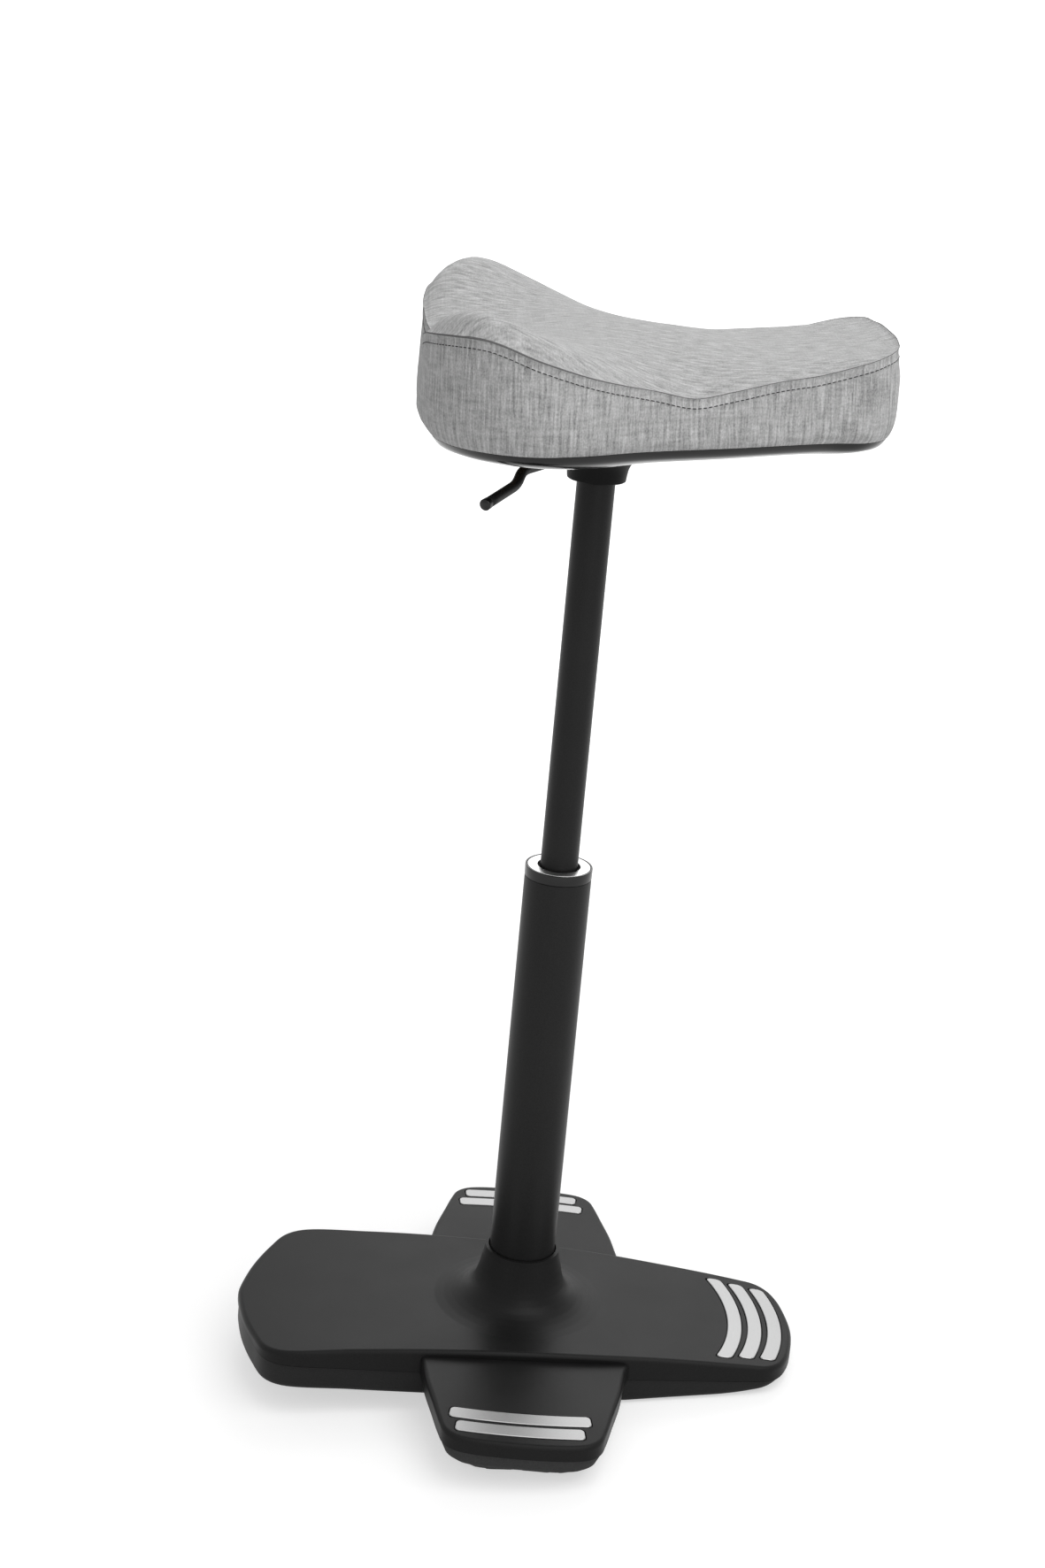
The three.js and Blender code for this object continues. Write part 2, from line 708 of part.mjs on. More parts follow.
// Balls of the bearing in their cage
function thrustBearing() {
  const ballRadius = bearingHeight / 2;
  const circle = (neckBore + washerRadius) / 2;
  const middle = bearingBottom + ballRadius;
  const ballCount = 8;
  const cage = solid(tube(circle - ballRadius * 2, circle + ballRadius * 2,
    middle - ballRadius / 2, middle + ballRadius / 2, 0, 16));
  const balls = Array.from({ length: ballCount }, (_, i) => {
    const angle = i / ballCount * Math.PI * 2;
    return solid(new THREE.SphereGeometry(ballRadius, 6, 4)
      .rotateX(Math.PI / 2).translate(circle * Math.cos(angle), circle * Math.sin(angle), middle));
  });
  return toGeometry(join(cage, ...balls));
}

addPiece(leaning, 'thrust_bearing', thrustBearing(), 'steel');
addPiece(leaning, 'upper_thrust_washer', tube(
  neckBore, washerRadius, upperWasherBottom, upperWasherBottom + washerThickness), 'steel');
addPiece(leaning, 'bumper', tube(
  rodRadius + clearance, bumperRadius, bumperBottom, bumperBottom + bumperHeight, 1), 'rubber');

// Piston rod: the neck passes the bearing, the shoulder rests on the upper washer
const glandTop = liftBottom + glandLength;
const pistonBottom = glandTop + pistonGap;
const pistonTop = pistonBottom + pistonLength;
const clipBottom = insideFloor + clearance;
const clipTop = clipBottom + clipHeight;
const grooveRadius = rodNeckRadius - 1;
addPiece(leaning, 'piston_rod', turned([
  [0, insideFloor], [rodNeckRadius, insideFloor], [rodNeckRadius, clipBottom],
  [grooveRadius, clipBottom], [grooveRadius, clipTop], [rodNeckRadius, clipTop],
  [rodNeckRadius, bumperBottom], [rodRadius, bumperBottom], [rodRadius, pistonBottom - clearance],
  [rodNeckRadius, pistonBottom - clearance], [rodNeckRadius, pistonTop], [0, pistonTop],
], 16), 'steel');
addPiece(leaning, 'piston', tube(
  neckBore, liftRadius - liftWall - clearance, pistonBottom, pistonTop, 1, 24), 'blackPlastic');
addPiece(leaning, 'rod_clip', tube(
  grooveRadius + clearance, clipRadius, clipBottom + clearance, clipTop - clearance, 0, 16), 'steel');

// Pressure tube with its gland and valve block
const liftBore = liftRadius - liftWall;
const valveBottom = liftTop - valveBlockLength;
addPiece(leaning, 'pressure_tube', tube(liftBore, liftRadius, liftBottom, liftTop), 'blackPaint');
addPiece(leaning, 'rod_gland', tube(
  rodRadius + clearance, liftBore - clearance, liftBottom, glandTop, 0, 24), 'blackPlastic');

const pinTop = leverHeight - leverRadius - clearance;
const pinBottom = pinTop - valvePinLength;
const pinRoom = (valvePinRadius + clearance);
addPiece(leaning, 'valve_block', turned([
  [0, valveBottom], [liftBore - clearance, valveBottom], [liftBore - clearance, liftTop],
  [pinRoom, liftTop], [pinRoom, pinBottom - washerThickness], [0, pinBottom - washerThickness],
], 24), 'steel');
addPiece(leaning, 'valve_pin', rod(valvePinRadius, pinBottom, pinTop), 'steel');

// The lever in the level frame: it pivots in the hub and its inner end lies over the valve pin
const valveX = leverHeight * Math.sin(lean);
const valveZ = leverHeight * Math.cos(lean);
const leverWay = new THREE.Vector3(leverRunX - valveX, leverRunY, 0).normalize();
const leverStart = new THREE.Vector3(valveX, 0, valveZ).addScaledVector(leverWay, -leverInnerEnd);
const leverPivot = new THREE.Vector3(valveX, 0, valveZ).addScaledVector(leverWay, leverArm);
const leverTurn = Math.atan2(leverWay.y, leverWay.x);
const leverBend = new THREE.Vector3(leverBendX, leverBendY, hubBottom + leverBendRise);
const leverEnd = new THREE.Vector3(leverEndX, leverEndY, hubBottom + leverEndRise);
const leverRun = new THREE.Vector3(leverRunX, leverRunY, hubBottom + leverRunRise);

function leverPivotPin(radius, halfLength) {
  return new THREE.CylinderGeometry(radius, radius, 2 * halfLength, smallSides)
    .rotateZ(leverTurn).translate(leverPivot.x, leverPivot.y, leverPivot.z);
}

function leverRod() {
  const path = new THREE.CurvePath();
  const bendShare = 0.36;
  const intoBend = leverRun.clone().lerp(leverBend, 1 - bendShare);
  const outOfBend = leverBend.clone().lerp(leverEnd, bendShare / 2);
  path.add(new THREE.CatmullRomCurve3(
    [leverStart, leverPivot, leverPivot.clone().lerp(leverRun, 0.5), leverRun, intoBend]));
  path.add(new THREE.QuadraticBezierCurve3(intoBend, leverBend, outOfBend));
  path.add(new THREE.LineCurve3(outOfBend, leverEnd));
  const section = new THREE.Shape().absarc(0, 0, leverRadius, 0, Math.PI * 2);
  const settings = { steps: 20, extrudePath: path, curveSegments: 5, bevelEnabled: false };
  const bar = solid(new THREE.ExtrudeGeometry(section, settings));
  return toGeometry(cut(bar, solid(leverPivotPin(leverPinRadius + clearance, leverRadius + overrun))));
}

function leverTip() {
  const way = leverEnd.clone().sub(leverBend).normalize();
  const radius = leverRadius + leverTipProud;
  const dome = radius / 4;
  const cap = turned([
    [0, clearance], [radius, clearance], [radius, leverTipLength - dome],
    [radius - dome, leverTipLength], [0, leverTipLength],
  ], 16);
  const turnTo = new THREE.Quaternion().setFromUnitVectors(new THREE.Vector3(0, 0, 1), way);
  return cap.applyQuaternion(turnTo).translate(leverEnd.x, leverEnd.y, leverEnd.z);
}

addPiece(stool, 'lever_rod', leverRod(), 'blackPaint');
addPiece(stool, 'lever_tip', leverTip(), 'blackPlastic');
addPiece(stool, 'lever_pin', leverPivotPin(leverPinRadius, leverPinHalfLength), 'steel');

// Hub: turned about the column's axis, cut level on top, slotted for the lever
const plateBottom = seatPlateTop - seatPlateThickness;
const hubTop = plateBottom - clearance;

function seatHub() {
  const flare = hubFlareShares.map(([rise, spread]) => [
    THREE.MathUtils.lerp(hubBottomRadius, hubTopRadius, spread), hubBottom + rise * hubFlareHeight]);
  const body = solid(turned([
    [0, hubBottom], [hubBottomRadius - 1, hubBottom], [hubBottomRadius, hubBottom + 1], ...flare,
    [hubTopRadius, hubTop + 2 * overrun], [0, hubTop + 2 * overrun],
  ]).rotateY(lean));
  const bore = solid(rod(
    liftRadius + clearance, hubBottom - overrun, liftTop + clearance, 0, roundSides).rotateY(lean));
  const wide = 4 * hubTopRadius;
  const above = solid(block(wide, wide, hubTop - recessHeight, 4 * overrun)
    .rotateY(seatPitch).translate(hubX, 0, recessHeight));
  const slotWidth = 2 * (leverRadius + 1);
  const slotLow = valveZ - leverRadius - leverRoom;
  const slotLength = leverInnerEnd + leverRadius + 2 * hubTopRadius;
  const slot = solid(block(slotLength, slotWidth, slotLow, hubTop + overrun)
    .translate(slotLength / 2 - leverInnerEnd - leverRadius, 0, 0)
    .rotateZ(leverTurn).translate(valveX, 0, 0));
  const pinHole = solid(leverPivotPin(leverPinRadius + clearance, leverPinHalfLength + clearance));
  const throat = solid(rod(slotWidth / 2, liftTop - overrun, hubTop).rotateY(lean));
  return toGeometry(cut(body, bore, above, slot, throat, pinHole));
}

// Seat plate and its screws
function plateScrewPlaces() {
  const [halfX, halfY] = [seatPlateLength / 2 - plateScrewEdge, seatPlateWidth / 2 - plateScrewEdge];
  return [[-1, -1], [1, -1], [1, 1], [-1, 1]].map(([x, y]) => [hubX + x * halfX, y * halfY]);
}

function seatPlate() {
  const half = seatPlateLength / 2;
  const shape = roundedShape(hubX - half, hubX + half, seatPlateWidth / 2, seatPlateCorner);
  for (const [x, y] of plateScrewPlaces()) {
    shape.holes.push(roundHole(x, y, plateScrewRadius + clearance));
  }
  return extrudedShape(shape, plateBottom, seatPlateTop);
}

const boardBottom = recessHeight + panWall + clearance;
const boardTop = panRim - clearance;

function plateScrew(place) {
  const head = plateBottom - clearance;
  const heights = [head - plateScrewHeadHeight, head, plateBottom + plateScrewGrip];
  return screw(place, plateScrewRadius, plateScrewHeadRadius, heights);
}

const plateScrewHoles = () => plateScrewPlaces().map(([x, y]) => solid(
  rod(plateScrewRadius + clearance, plateBottom, boardTop + clearance).translate(x, y, 0)));

// The pan's section from its rim to its flat floor: how far in, and how far down
const panShares = [[0.05, 0.25], [0.15, 0.44], [0.33, 0.61], [0.62, 0.8], [1, 1]];

// Seat outline: wide at the rear lobes, narrower at the front
const seatShares = [
  [0, 0], [0.002, 0.28], [0.008, 0.5], [0.026, 0.7], [0.082, 0.874], [0.16, 0.975], [0.232, 1],
  [0.32, 0.955], [0.451, 0.833], [0.643, 0.71], [0.851, 0.56], [0.936, 0.53], [0.978, 0.445],
  [0.996, 0.28], [1, 0],
];
const seatRear = hubX - seatRearReach;
const seatFront = hubX + seatFrontReach;
const seatLength = seatFront - seatRear;
const seatMiddle = (seatFront + seatRear) / 2;
const seatLoop = mirroredLoop(
  seatShares.map(([x, y]) => [seatRear + x * seatLength, y * seatHalfWidth]), seatSides);
const seatSpine = [
  new THREE.Vector2(seatRear + seatHalfWidth * 0.45, 0),
  new THREE.Vector2(seatFront - seatHalfWidth * 0.45, 0),
];

// The seat's outline moved in by a distance, flat at a height
function seatRing(distance, height) {
  return seatLoop.map((point) => {
    const along = 1 - 2 * distance / seatLength;
    const across = 1 - distance / halfWidthAt(point.x);
    return new THREE.Vector3(THREE.MathUtils.lerp(seatMiddle, point.x, along), point.y * across, height);
  });
}

function panRings(grow, top, shares) {
  const rim = panRim - clearance;
  const rings = [seatRing(grow, top)];
  for (const [inward, down] of shares) {
    rings.push(seatRing(grow + inward * panDish, THREE.MathUtils.lerp(rim, panFloor, down) + grow));
  }
  return rings.reverse();
}

// The floor steps up over the seat plate and the lever
function recess(grow, low, high) {
  const side = recessMargin + grow;
  const halfX = seatPlateLength / 2 + side;
  const shape = roundedShape(hubX - halfX, hubX + halfX, seatPlateWidth / 2 + side, seatPlateCorner + side);
  const length = leverChannelReach + grow;
  const channel = block(length, leverChannelWidth + 2 * grow, low, high)
    .translate(length / 2, 0, 0).rotateZ(leverTurn).translate(valveX - hubX, 0, 0)
    .rotateZ(-seatYaw).translate(hubX, 0, 0);
  return join(solid(extrudedShape(shape, low, high)), solid(channel));
}

function seatPan() {
  const outside = solid(lofted(panRings(0, panRim - clearance, panShares)));
  const inside = solid(lofted(panRings(panWall, panRim + overrun, panShares.slice(1))));
  const shell = join(cut(outside, inside), recess(panWall, panFloor, recessHeight + panWall));
  return toGeometry(cut(shell, recess(0, panFloor - overrun, recessHeight), ...plateScrewHoles()));
}

function seatBoard() {
  const board = solid(lofted([seatRing(boardInset, boardBottom), seatRing(boardInset, boardTop)]));
  return toGeometry(cut(board, ...plateScrewHoles()));
}

// Cushion heights over the rim, as shares of the lobes' height: along the seat's middle, at its
// edge before the roll, and at the seam
const middleShares = [
  [0, 0.64], [0.1, 0.66], [0.24, 0.69], [0.39, 0.71], [0.54, 0.68], [0.73, 0.62], [0.92, 0.61], [1, 0.64]];
const edgeShares = [
  [0, 1.34], [0.1, 1.235], [0.24, 0.92], [0.39, 0.61], [0.54, 0.43], [0.73, 0.52], [0.92, 0.6], [1, 0.65]];
const seamShares = [
  [0, 0.8], [0.05, 0.845], [0.12, 0.855], [0.23, 0.715], [0.37, 0.555], [0.47, 0.47], [0.55, 0.405],
  [0.63, 0.445], [0.73, 0.51], [0.82, 0.565], [0.91, 0.66], [1, 0.795]];
const rearSeamShare = 0.62;

const seatShare = (x) => (x - seatRear) / seatLength;

// Half widths of the seat as if its ends were cut off square
const widthShares = [
  [0, 0.87], [0.08, 0.93], [0.16, 0.985], [0.232, 1], [0.32, 0.955], [0.451, 0.833], [0.643, 0.715],
  [0.851, 0.58], [1, 0.54]];

function halfWidthAt(x) {
  return interpolate(widthShares, seatShare(x)) * seatHalfWidth;
}

function cushionSurface(x, y) {
  const middle = interpolate(middleShares, seatShare(x)) * cushionLobe;
  const edge = interpolate(edgeShares, seatShare(x)) * cushionLobe;
  const across = Math.min(Math.abs(y) / halfWidthAt(x), 1);
  return middle + (edge - middle) * across ** 2;
}

function seamHeightAt(x, y) {
  const side = interpolate(seamShares, seatShare(x)) * cushionLobe;
  const rear = THREE.MathUtils.smoothstep(seatShare(x), 0, 0.1);
  const across = THREE.MathUtils.smoothstep(Math.abs(y), 0, 0.7 * seatHalfWidth);
  return THREE.MathUtils.lerp(THREE.MathUtils.lerp(rearSeamShare * cushionLobe, side, across), side, rear);
}

// How far the seam is drawn in at the middle of the rear end
function dentAt(x, y) {
  const across = Math.abs(y) / (0.6 * seatHalfWidth);
  return x < seatMiddle ? cushionDent * Math.max(1 - across, 0) ** 1.5 : 0;
}

function seatCushion() {
  const wallRing = (share, bulge) => seatLoop.map((point) => {
    const full = THREE.MathUtils.lerp(cushionRearBulge, cushionFrontBulge, seatShare(point.x));
    const moved = inset(point, seatSpine, -bulge * full);
    const x = moved.x + share * dentAt(moved.x, moved.y);
    return new THREE.Vector3(x, moved.y, panRim + share * seamHeightAt(moved.x, moved.y));
  });
  const walls = [[0, 0], [0.06, 0.5], [0.22, 0.93], [0.6, 1], [1, 0.85]];
  const rings = walls.map(([share, bulge]) => wallRing(share, bulge));
  const seamRing = rings[rings.length - 1];
  for (const part of [0.03, 0.08, 0.16, 0.28, 0.42, 0.58, 0.76, 0.93]) {
    rings.push(seamRing.map((point) => {
      const dent = dentAt(point.x, point.y);
      const spineX = THREE.MathUtils.clamp(point.x, seatSpine[0].x, seatSpine[1].x);
      const x = THREE.MathUtils.lerp(point.x - dent, spineX, part) + dent * (1 - part) ** 3;
      const y = point.y * (1 - part);
      const drop = cushionSurface(point.x, point.y) - (point.z - panRim);
      return new THREE.Vector3(x, y, panRim + cushionSurface(x, y) - drop * (1 - part) ** 13);
    }));
  }
  return toGeometry(solid(lofted(rings)));
}

addPiece(stool, 'seat_hub', seatHub(), 'blackPaint');
addPiece(seat, 'seat_plate', seatPlate(), 'blackPaint');
plateScrewPlaces().forEach((place, i) => {
  addPiece(seat, `plate_screw_${i + 1}`, plateScrew(place), 'steel');
});
addPiece(seat, 'seat_pan', seatPan(), 'glossPlastic');
addPiece(seat, 'seat_board', seatBoard(), 'wood');
addPiece(seat, 'seat_cushion', seatCushion(), 'fabric');

export default stool;
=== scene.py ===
"""Looks of a perch stool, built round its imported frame. Metres, +Z up, front along +X."""

import math

import bmesh
import bpy
import numpy as np
from mathutils import Matrix, Vector
from mathutils.kdtree import KDTree


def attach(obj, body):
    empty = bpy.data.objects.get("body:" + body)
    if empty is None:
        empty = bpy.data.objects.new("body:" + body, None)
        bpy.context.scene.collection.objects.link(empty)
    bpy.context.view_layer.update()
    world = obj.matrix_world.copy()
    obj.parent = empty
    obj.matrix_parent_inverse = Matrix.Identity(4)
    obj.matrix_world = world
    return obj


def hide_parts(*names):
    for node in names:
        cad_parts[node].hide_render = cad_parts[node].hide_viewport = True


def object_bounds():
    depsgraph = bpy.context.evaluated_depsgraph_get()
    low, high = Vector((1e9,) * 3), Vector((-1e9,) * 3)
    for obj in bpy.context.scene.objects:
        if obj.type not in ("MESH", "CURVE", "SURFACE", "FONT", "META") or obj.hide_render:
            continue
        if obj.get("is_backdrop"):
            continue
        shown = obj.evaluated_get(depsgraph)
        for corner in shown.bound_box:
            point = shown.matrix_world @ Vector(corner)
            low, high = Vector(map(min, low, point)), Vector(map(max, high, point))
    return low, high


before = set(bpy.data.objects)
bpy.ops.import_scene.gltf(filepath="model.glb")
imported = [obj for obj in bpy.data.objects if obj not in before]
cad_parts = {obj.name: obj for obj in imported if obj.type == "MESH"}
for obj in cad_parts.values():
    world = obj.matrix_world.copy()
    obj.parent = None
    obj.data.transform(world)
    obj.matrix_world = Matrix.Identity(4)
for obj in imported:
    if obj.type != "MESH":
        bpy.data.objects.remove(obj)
cad_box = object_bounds()

MM = 0.001
CLEARANCE = 0.3
CUT_MARGIN = 6
TINY, WELD, AXIS_RADIUS = 1e-9, 1e-6, 0.01
SIDES, FINE_SIDES, CURVE_STEPS = 96, 128, 40
CORNER_STEPS, CORNER_SHARE = 3, 0.45
LEAN = math.radians(5.04)
TILT = Matrix.Rotation(LEAN, 4, "Y")

# Base, in millimetres square to the column
BODY_REAR, BODY_FRONT, BODY_HALF_WIDTH = 215, 213.5, 93.6
ARCH_TOP, ARCH_FORWARD, ARCH_RADIUS = 47.2, 12, 1920
SEAM = 28
SEAM_STEP, SEAM_STEP_RISE = 0.1, 0.5
WALL = 3
EDGE_ROUND, EDGE_STEPS, EDGE_LANDS = 3.4, 8, (0.4, 3)
TAB_FORWARD, TAB_REACH, TAB_HALF_WIDTH, TAB_TOP, TAB_ARCH_RADIUS = 5, 190, 76, 41, 2450
TAB_ARCH_START = TAB_REACH * 0.46
TAB_ROOT, TAB_END_WIDTH = 0.3, 0.79
BODY_POINTS, TAB_POINTS, SEAT_POINTS = 256, 176, 320

BODY_SHARES = [
    (-1, 0), (-0.991, 0.17), (-0.965, 0.43), (-0.921, 0.70), (-0.872, 0.91), (-0.81, 0.99),
    (-0.56, 0.973), (-0.316, 0.942), (0.047, 0.891), (0.234, 0.859), (0.515, 0.783),
    (0.829, 0.698), (0.895, 0.668), (0.937, 0.588), (0.965, 0.47), (0.986, 0.288), (1, 0)]
TAB_SHARES = [
    (TAB_ROOT, 0), (TAB_ROOT, 1.08), (0.46, 1), (0.61, 0.94), (0.75, 0.86), (0.87, 0.79),
    (0.93, 0.74), (0.968, 0.645), (0.987, 0.5), (0.997, 0.26), (1, 0)]

# Collar, as radius and height, and how its foot follows the arch
COLLAR = [
    (28.5, 90), (29, 86), (30.2, 79), (31.5, 72.5), (32.9, 67), (34.6, 62), (37.2, 57.4),
    (40.8, 53.9), (45.5, 51.2), (51, 49.3), (57, 48), (64, 47.25), (70, 46.9), (72, 45)]
COLLAR_BORE, COLLAR_TOP, COLLAR_FOOT, COLLAR_ROUND = 26, 90.0, 40.0, 1.2
COLLAR_BLEND_START, COLLAR_BLEND_WIDTH, COLLAR_BLEND_TOP = 34, 30, 70
BORE_LOW, BORE_HIGH = 20.0, 95.0

# Grip strips: where the first begins, their pitch, width, radius and half lengths
FRONT_STRIP_START, FRONT_STRIP_PITCH, FRONT_STRIP_WIDTH, FRONT_STRIP_RADIUS = 163.6, 15.5, 10.6, 131
FRONT_STRIP_HALVES = (57.5, 54, 51.5)
TAB_STRIP_START, TAB_STRIP_PITCH, TAB_STRIP_WIDTH, TAB_STRIP_RADIUS = 152.8, 15.2, 11.8, 463
TAB_STRIP_HALVES = (50, 45.4)
TAB_STRIP_FORWARD = 3
STRIP_CORNER, STRIP_ROWS, STRIP_COLUMNS = 3.2, 15, 33
# How far a strip grows sideways, its low and high face and its chamfer
STRIP_RECESS = (0.9, -1.6, 6.0, 0.0)
STRIP_BODY = (0.0, -0.7, 0.6, 0.35)

# Tray and sole
TRAY_FLOOR, TRAY_INSET, TRAY_WALL = 8.7, 1, 2.5
TRAY_LAND, TRAY_ROUND, TRAY_STEPS = 10, 4.5, 7
TRAY_LIP_FOOT = 1.3
TRAY_LIP = [(-0.45, 1.1), (-0.6, 0.7), (-0.45, 0.25), (0.1, 0)]
FACET_RISE, FACET_CURL_START, FACET_CURL = 1.3, 150, 500
SOLE_INSET, SOLE_TOP_INSET, SOLE_ROOM = 38, 1.5, 0.6
SOLE_LEVELS = [
    (1, -CUT_MARGIN), (0.75, 1), (0.5, 0.27 * SEAM), (0.28, 0.45 * SEAM), (0.12, 0.62 * SEAM),
    (0.03, 0.85 * SEAM), (0, SEAM - CLEARANCE)]
SOLE_BAR_REACH = 120
ROCK_X = -12
ROCK_REAR, ROCK_FRONT, ROCK_HALF, ROCK_DEPTH = 215, 213, 195, 30
GROOVE_FORWARD, GROOVE_PITCH = 4, 26
GROOVE_START, GROOVE_END = 98.0, 195.0
GROOVE_PROFILE = [(-5.4, -6), (-4.6, -0.2), (-3, 2.1), (3, 2.1), (4.6, -0.2), (5.4, -6)]

# Column and lift
COLUMN_BORE, COLUMN_RADIUS, COLUMN_FOOT, COLUMN_TOP = 23.2, 25, 11.5, 392
CAP_BORE, CAP_RADIUS, CAP_BOTTOM, CAP_TOP = 23.8, 25.2, COLUMN_TOP + CLEARANCE, COLUMN_TOP + 8
GUIDE_BORE, GUIDE_RADIUS, GUIDE_HEIGHT = 16, 23.5, 4
LIFT_BORE, LIFT_RADIUS, LIFT_BOTTOM = 12.2, 14, 312

# Seat, level
HUB_BOTTOM = 694
LIFT_TOP = HUB_BOTTOM + 14
PAN_RIM = HUB_BOTTOM + 46
PAN_DEPTH, PAN_DISH, PAN_WALL = 17.7, 55, 2.5
RECESS_TOP = PAN_RIM - 10
HUB_X = RECESS_TOP * math.tan(LEAN)
SEAT_REAR, SEAT_FRONT, SEAT_HALF_WIDTH = HUB_X - 126, HUB_X + 196.5, 169
SEAT_LENGTH = SEAT_FRONT - SEAT_REAR
SEAT_MIDDLE = (SEAT_REAR + SEAT_FRONT) / 2
SEAT_SHARES = [
    (0, 0), (0.002, 0.28), (0.008, 0.5), (0.026, 0.7), (0.082, 0.874), (0.16, 0.975),
    (0.232, 1), (0.32, 0.955), (0.451, 0.833), (0.643, 0.71), (0.851, 0.56), (0.936, 0.53),
    (0.978, 0.445), (0.996, 0.28), (1, 0)]
PAN_SHARES = [
    (0, 0), (0.02, 0.12), (0.05, 0.25), (0.15, 0.44), (0.33, 0.61), (0.62, 0.8), (1, 1)]
PAN_STEPS = [0.15, 0.5, 1.2, 2.2, 3.6, 5.5, 8, 11, 14.5, 18.5, 24, 31, 40, PAN_DISH]
PAN_INNER_STEP = 5
TUB_HALF_LENGTH, TUB_HALF_WIDTH, TUB_CORNER, BOX_CORNER_STEPS = 58, 59, 16, 8
SEAT_PIVOT = Vector((HUB_X, 0, RECESS_TOP)) * MM
SEAT_YAW, SEAT_PITCH = math.radians(2.2), math.radians(2)
SEAT_POSE = (Matrix.Translation(SEAT_PIVOT) @ Matrix.Rotation(SEAT_PITCH, 4, "Y")
             @ Matrix.Rotation(SEAT_YAW, 4, "Z") @ Matrix.Translation(-SEAT_PIVOT))

# Hub, as height and radius of its flare, and the room that the lever needs
FLARE = [(0, 21.3), (6, 22), (11, 23.2), (15, 25.5), (20, 30), (25, 36), (30, 40), (33, 42)]
FLARE_HEIGHT, FLARE_STEPS = 33, 23
HUB_BORE, HUB_EDGE_RADIUS, HUB_EDGE, HUB_EDGE_RISE = 14.3, 21.2, 0.8, 0.5
PLATE_THICKNESS = 2.5
PLATE_BOTTOM = RECESS_TOP - CLEARANCE - PLATE_THICKNESS
HUB_TOP = PLATE_BOTTOM - CLEARANCE
HUB_SPARE = 12
HUB_CUT = (-40, 180, -80, 80, HUB_TOP, HUB_TOP + 30)
PAN_CHANNEL = (-9, 124, 22)
HUB_SLOT, HUB_SLOT_DROP = (-8.75, 84, 9.5), 6.75

# Lever
LEVER_Z = HUB_BOTTOM + 23
VALVE = Vector((LEVER_Z * math.sin(LEAN), 0, LEVER_Z * math.cos(LEAN)))
RUN, BEND, END = (Vector((x, y, HUB_BOTTOM + rise)) for x, y, rise in (
    (8, -90, 22.5), (4, -103.5, 15.3), (-14.5, -140, 11)))
WAY = Vector((RUN.x - VALVE.x, RUN.y, 0)).normalized()
LEVER_RADIUS, LEVER_CAP_RADIUS, LEVER_SIDES, SOFT_EDGE = 3.75, 4.1, 28, 0.22
LEVER_START, LEVER_BEND_REACH = 5, 8
LEVER_CAP_STEPS = (CLEARANCE, 1.5, 3, 4.5, 6)

# Cushion heights over the rim, as shares of the lobes' height along the seat
LOBE = 87
MIDDLE = [
    (0, 0.64), (0.1, 0.66), (0.24, 0.69), (0.39, 0.71), (0.54, 0.68), (0.73, 0.6), (0.92, 0.64),
    (1, 0.68)]
EDGE = [
    (0, 1.34), (0.1, 1.235), (0.24, 0.92), (0.39, 0.61), (0.54, 0.43), (0.73, 0.535),
    (0.92, 0.655), (1, 0.7)]
SEAM_RISE = [
    (0, 0.8), (0.05, 0.845), (0.12, 0.855), (0.23, 0.715), (0.37, 0.555), (0.47, 0.47),
    (0.55, 0.405), (0.63, 0.445), (0.73, 0.51), (0.82, 0.55), (0.91, 0.63), (1, 0.73)]
REAR_SEAM, REAR_SEAM_LENGTH, REAR_SEAM_WIDTH = 0.62, 0.1, 0.7
WIDTHS = [
    (0, 0.87), (0.08, 0.93), (0.16, 0.985), (0.232, 1), (0.32, 0.955), (0.451, 0.833),
    (0.643, 0.715), (0.851, 0.58), (1, 0.54)]

# Side band, from the rim up to the seam, and top panel, from the seam to the spine
REAR_BULGE, FRONT_BULGE = 10.5, 7
DENT, DENT_WIDTH, DENT_POWER = 12, 0.6, 1.5
BULGES = [
    (0, 0.02), (0.03, 0.3), (0.06, 0.5), (0.12, 0.75), (0.22, 0.93), (0.4, 1), (0.75, 0.99),
    (1, 0.85)]
STITCH_DROP, BAND_DROP = 6.0, 8.5
BAND_MARKS = [0, 0.02, 0.05, 0.1, 0.17, 0.26, 0.36, 0.47, 0.58, 0.68, 0.77]
SEAM_DROPS = [
    STITCH_DROP + 2.2, STITCH_DROP + 1.1, STITCH_DROP + 0.5, STITCH_DROP, STITCH_DROP - 0.5,
    STITCH_DROP - 1.1, 3.6, 2.2, 1.3, 0.7, 0.3, 0]
TOP_PARTS = [
    0.003, 0.007, 0.013, 0.022, 0.035, 0.05, 0.07, 0.095, 0.125, 0.16, 0.2, 0.25, 0.31, 0.38,
    0.46, 0.55, 0.64, 0.73, 0.82, 0.9, 0.97]
ROLL_POWER, DENT_FADE = 13, 3
# How deep the rows beside the seam and the stitches lie, by their distance in rows
SEAM_GROOVE = {0: 1.3, 1: 0.95, -1: 0.95, 2: 0.45, -2: 0.45, 3: 0.1, -3: 0.1}
STITCH_GROOVE = {0: 0.4, 1: 0.25, -1: 0.25}
SEAM_NORMAL_ROWS = 5

# Foam as cloth
VOXEL, HELD_RISE, MOVE_CAP = 5, 3, 1.5
CLOTH_FRAMES, CLOTH_PRESSURE, CLOTH_STIFFNESS, CLOTH_QUALITY = 20, 2, 25, 6
NEAR_POINTS, NEAR_SOFTNESS = 8, 2

# Stitches: along, width and lift of each station, as shares
STITCH_PITCH, STITCH_LENGTH, STITCH_RADIUS, STITCH_SIDES = 3.9, 2.9, 0.34, 6
STITCH_SHAPE = [
    (-0.5, 0.35, -0.4), (-0.32, 1, 0.2), (0, 1.1, 0.4), (0.32, 1, 0.2), (0.5, 0.35, -0.4)]

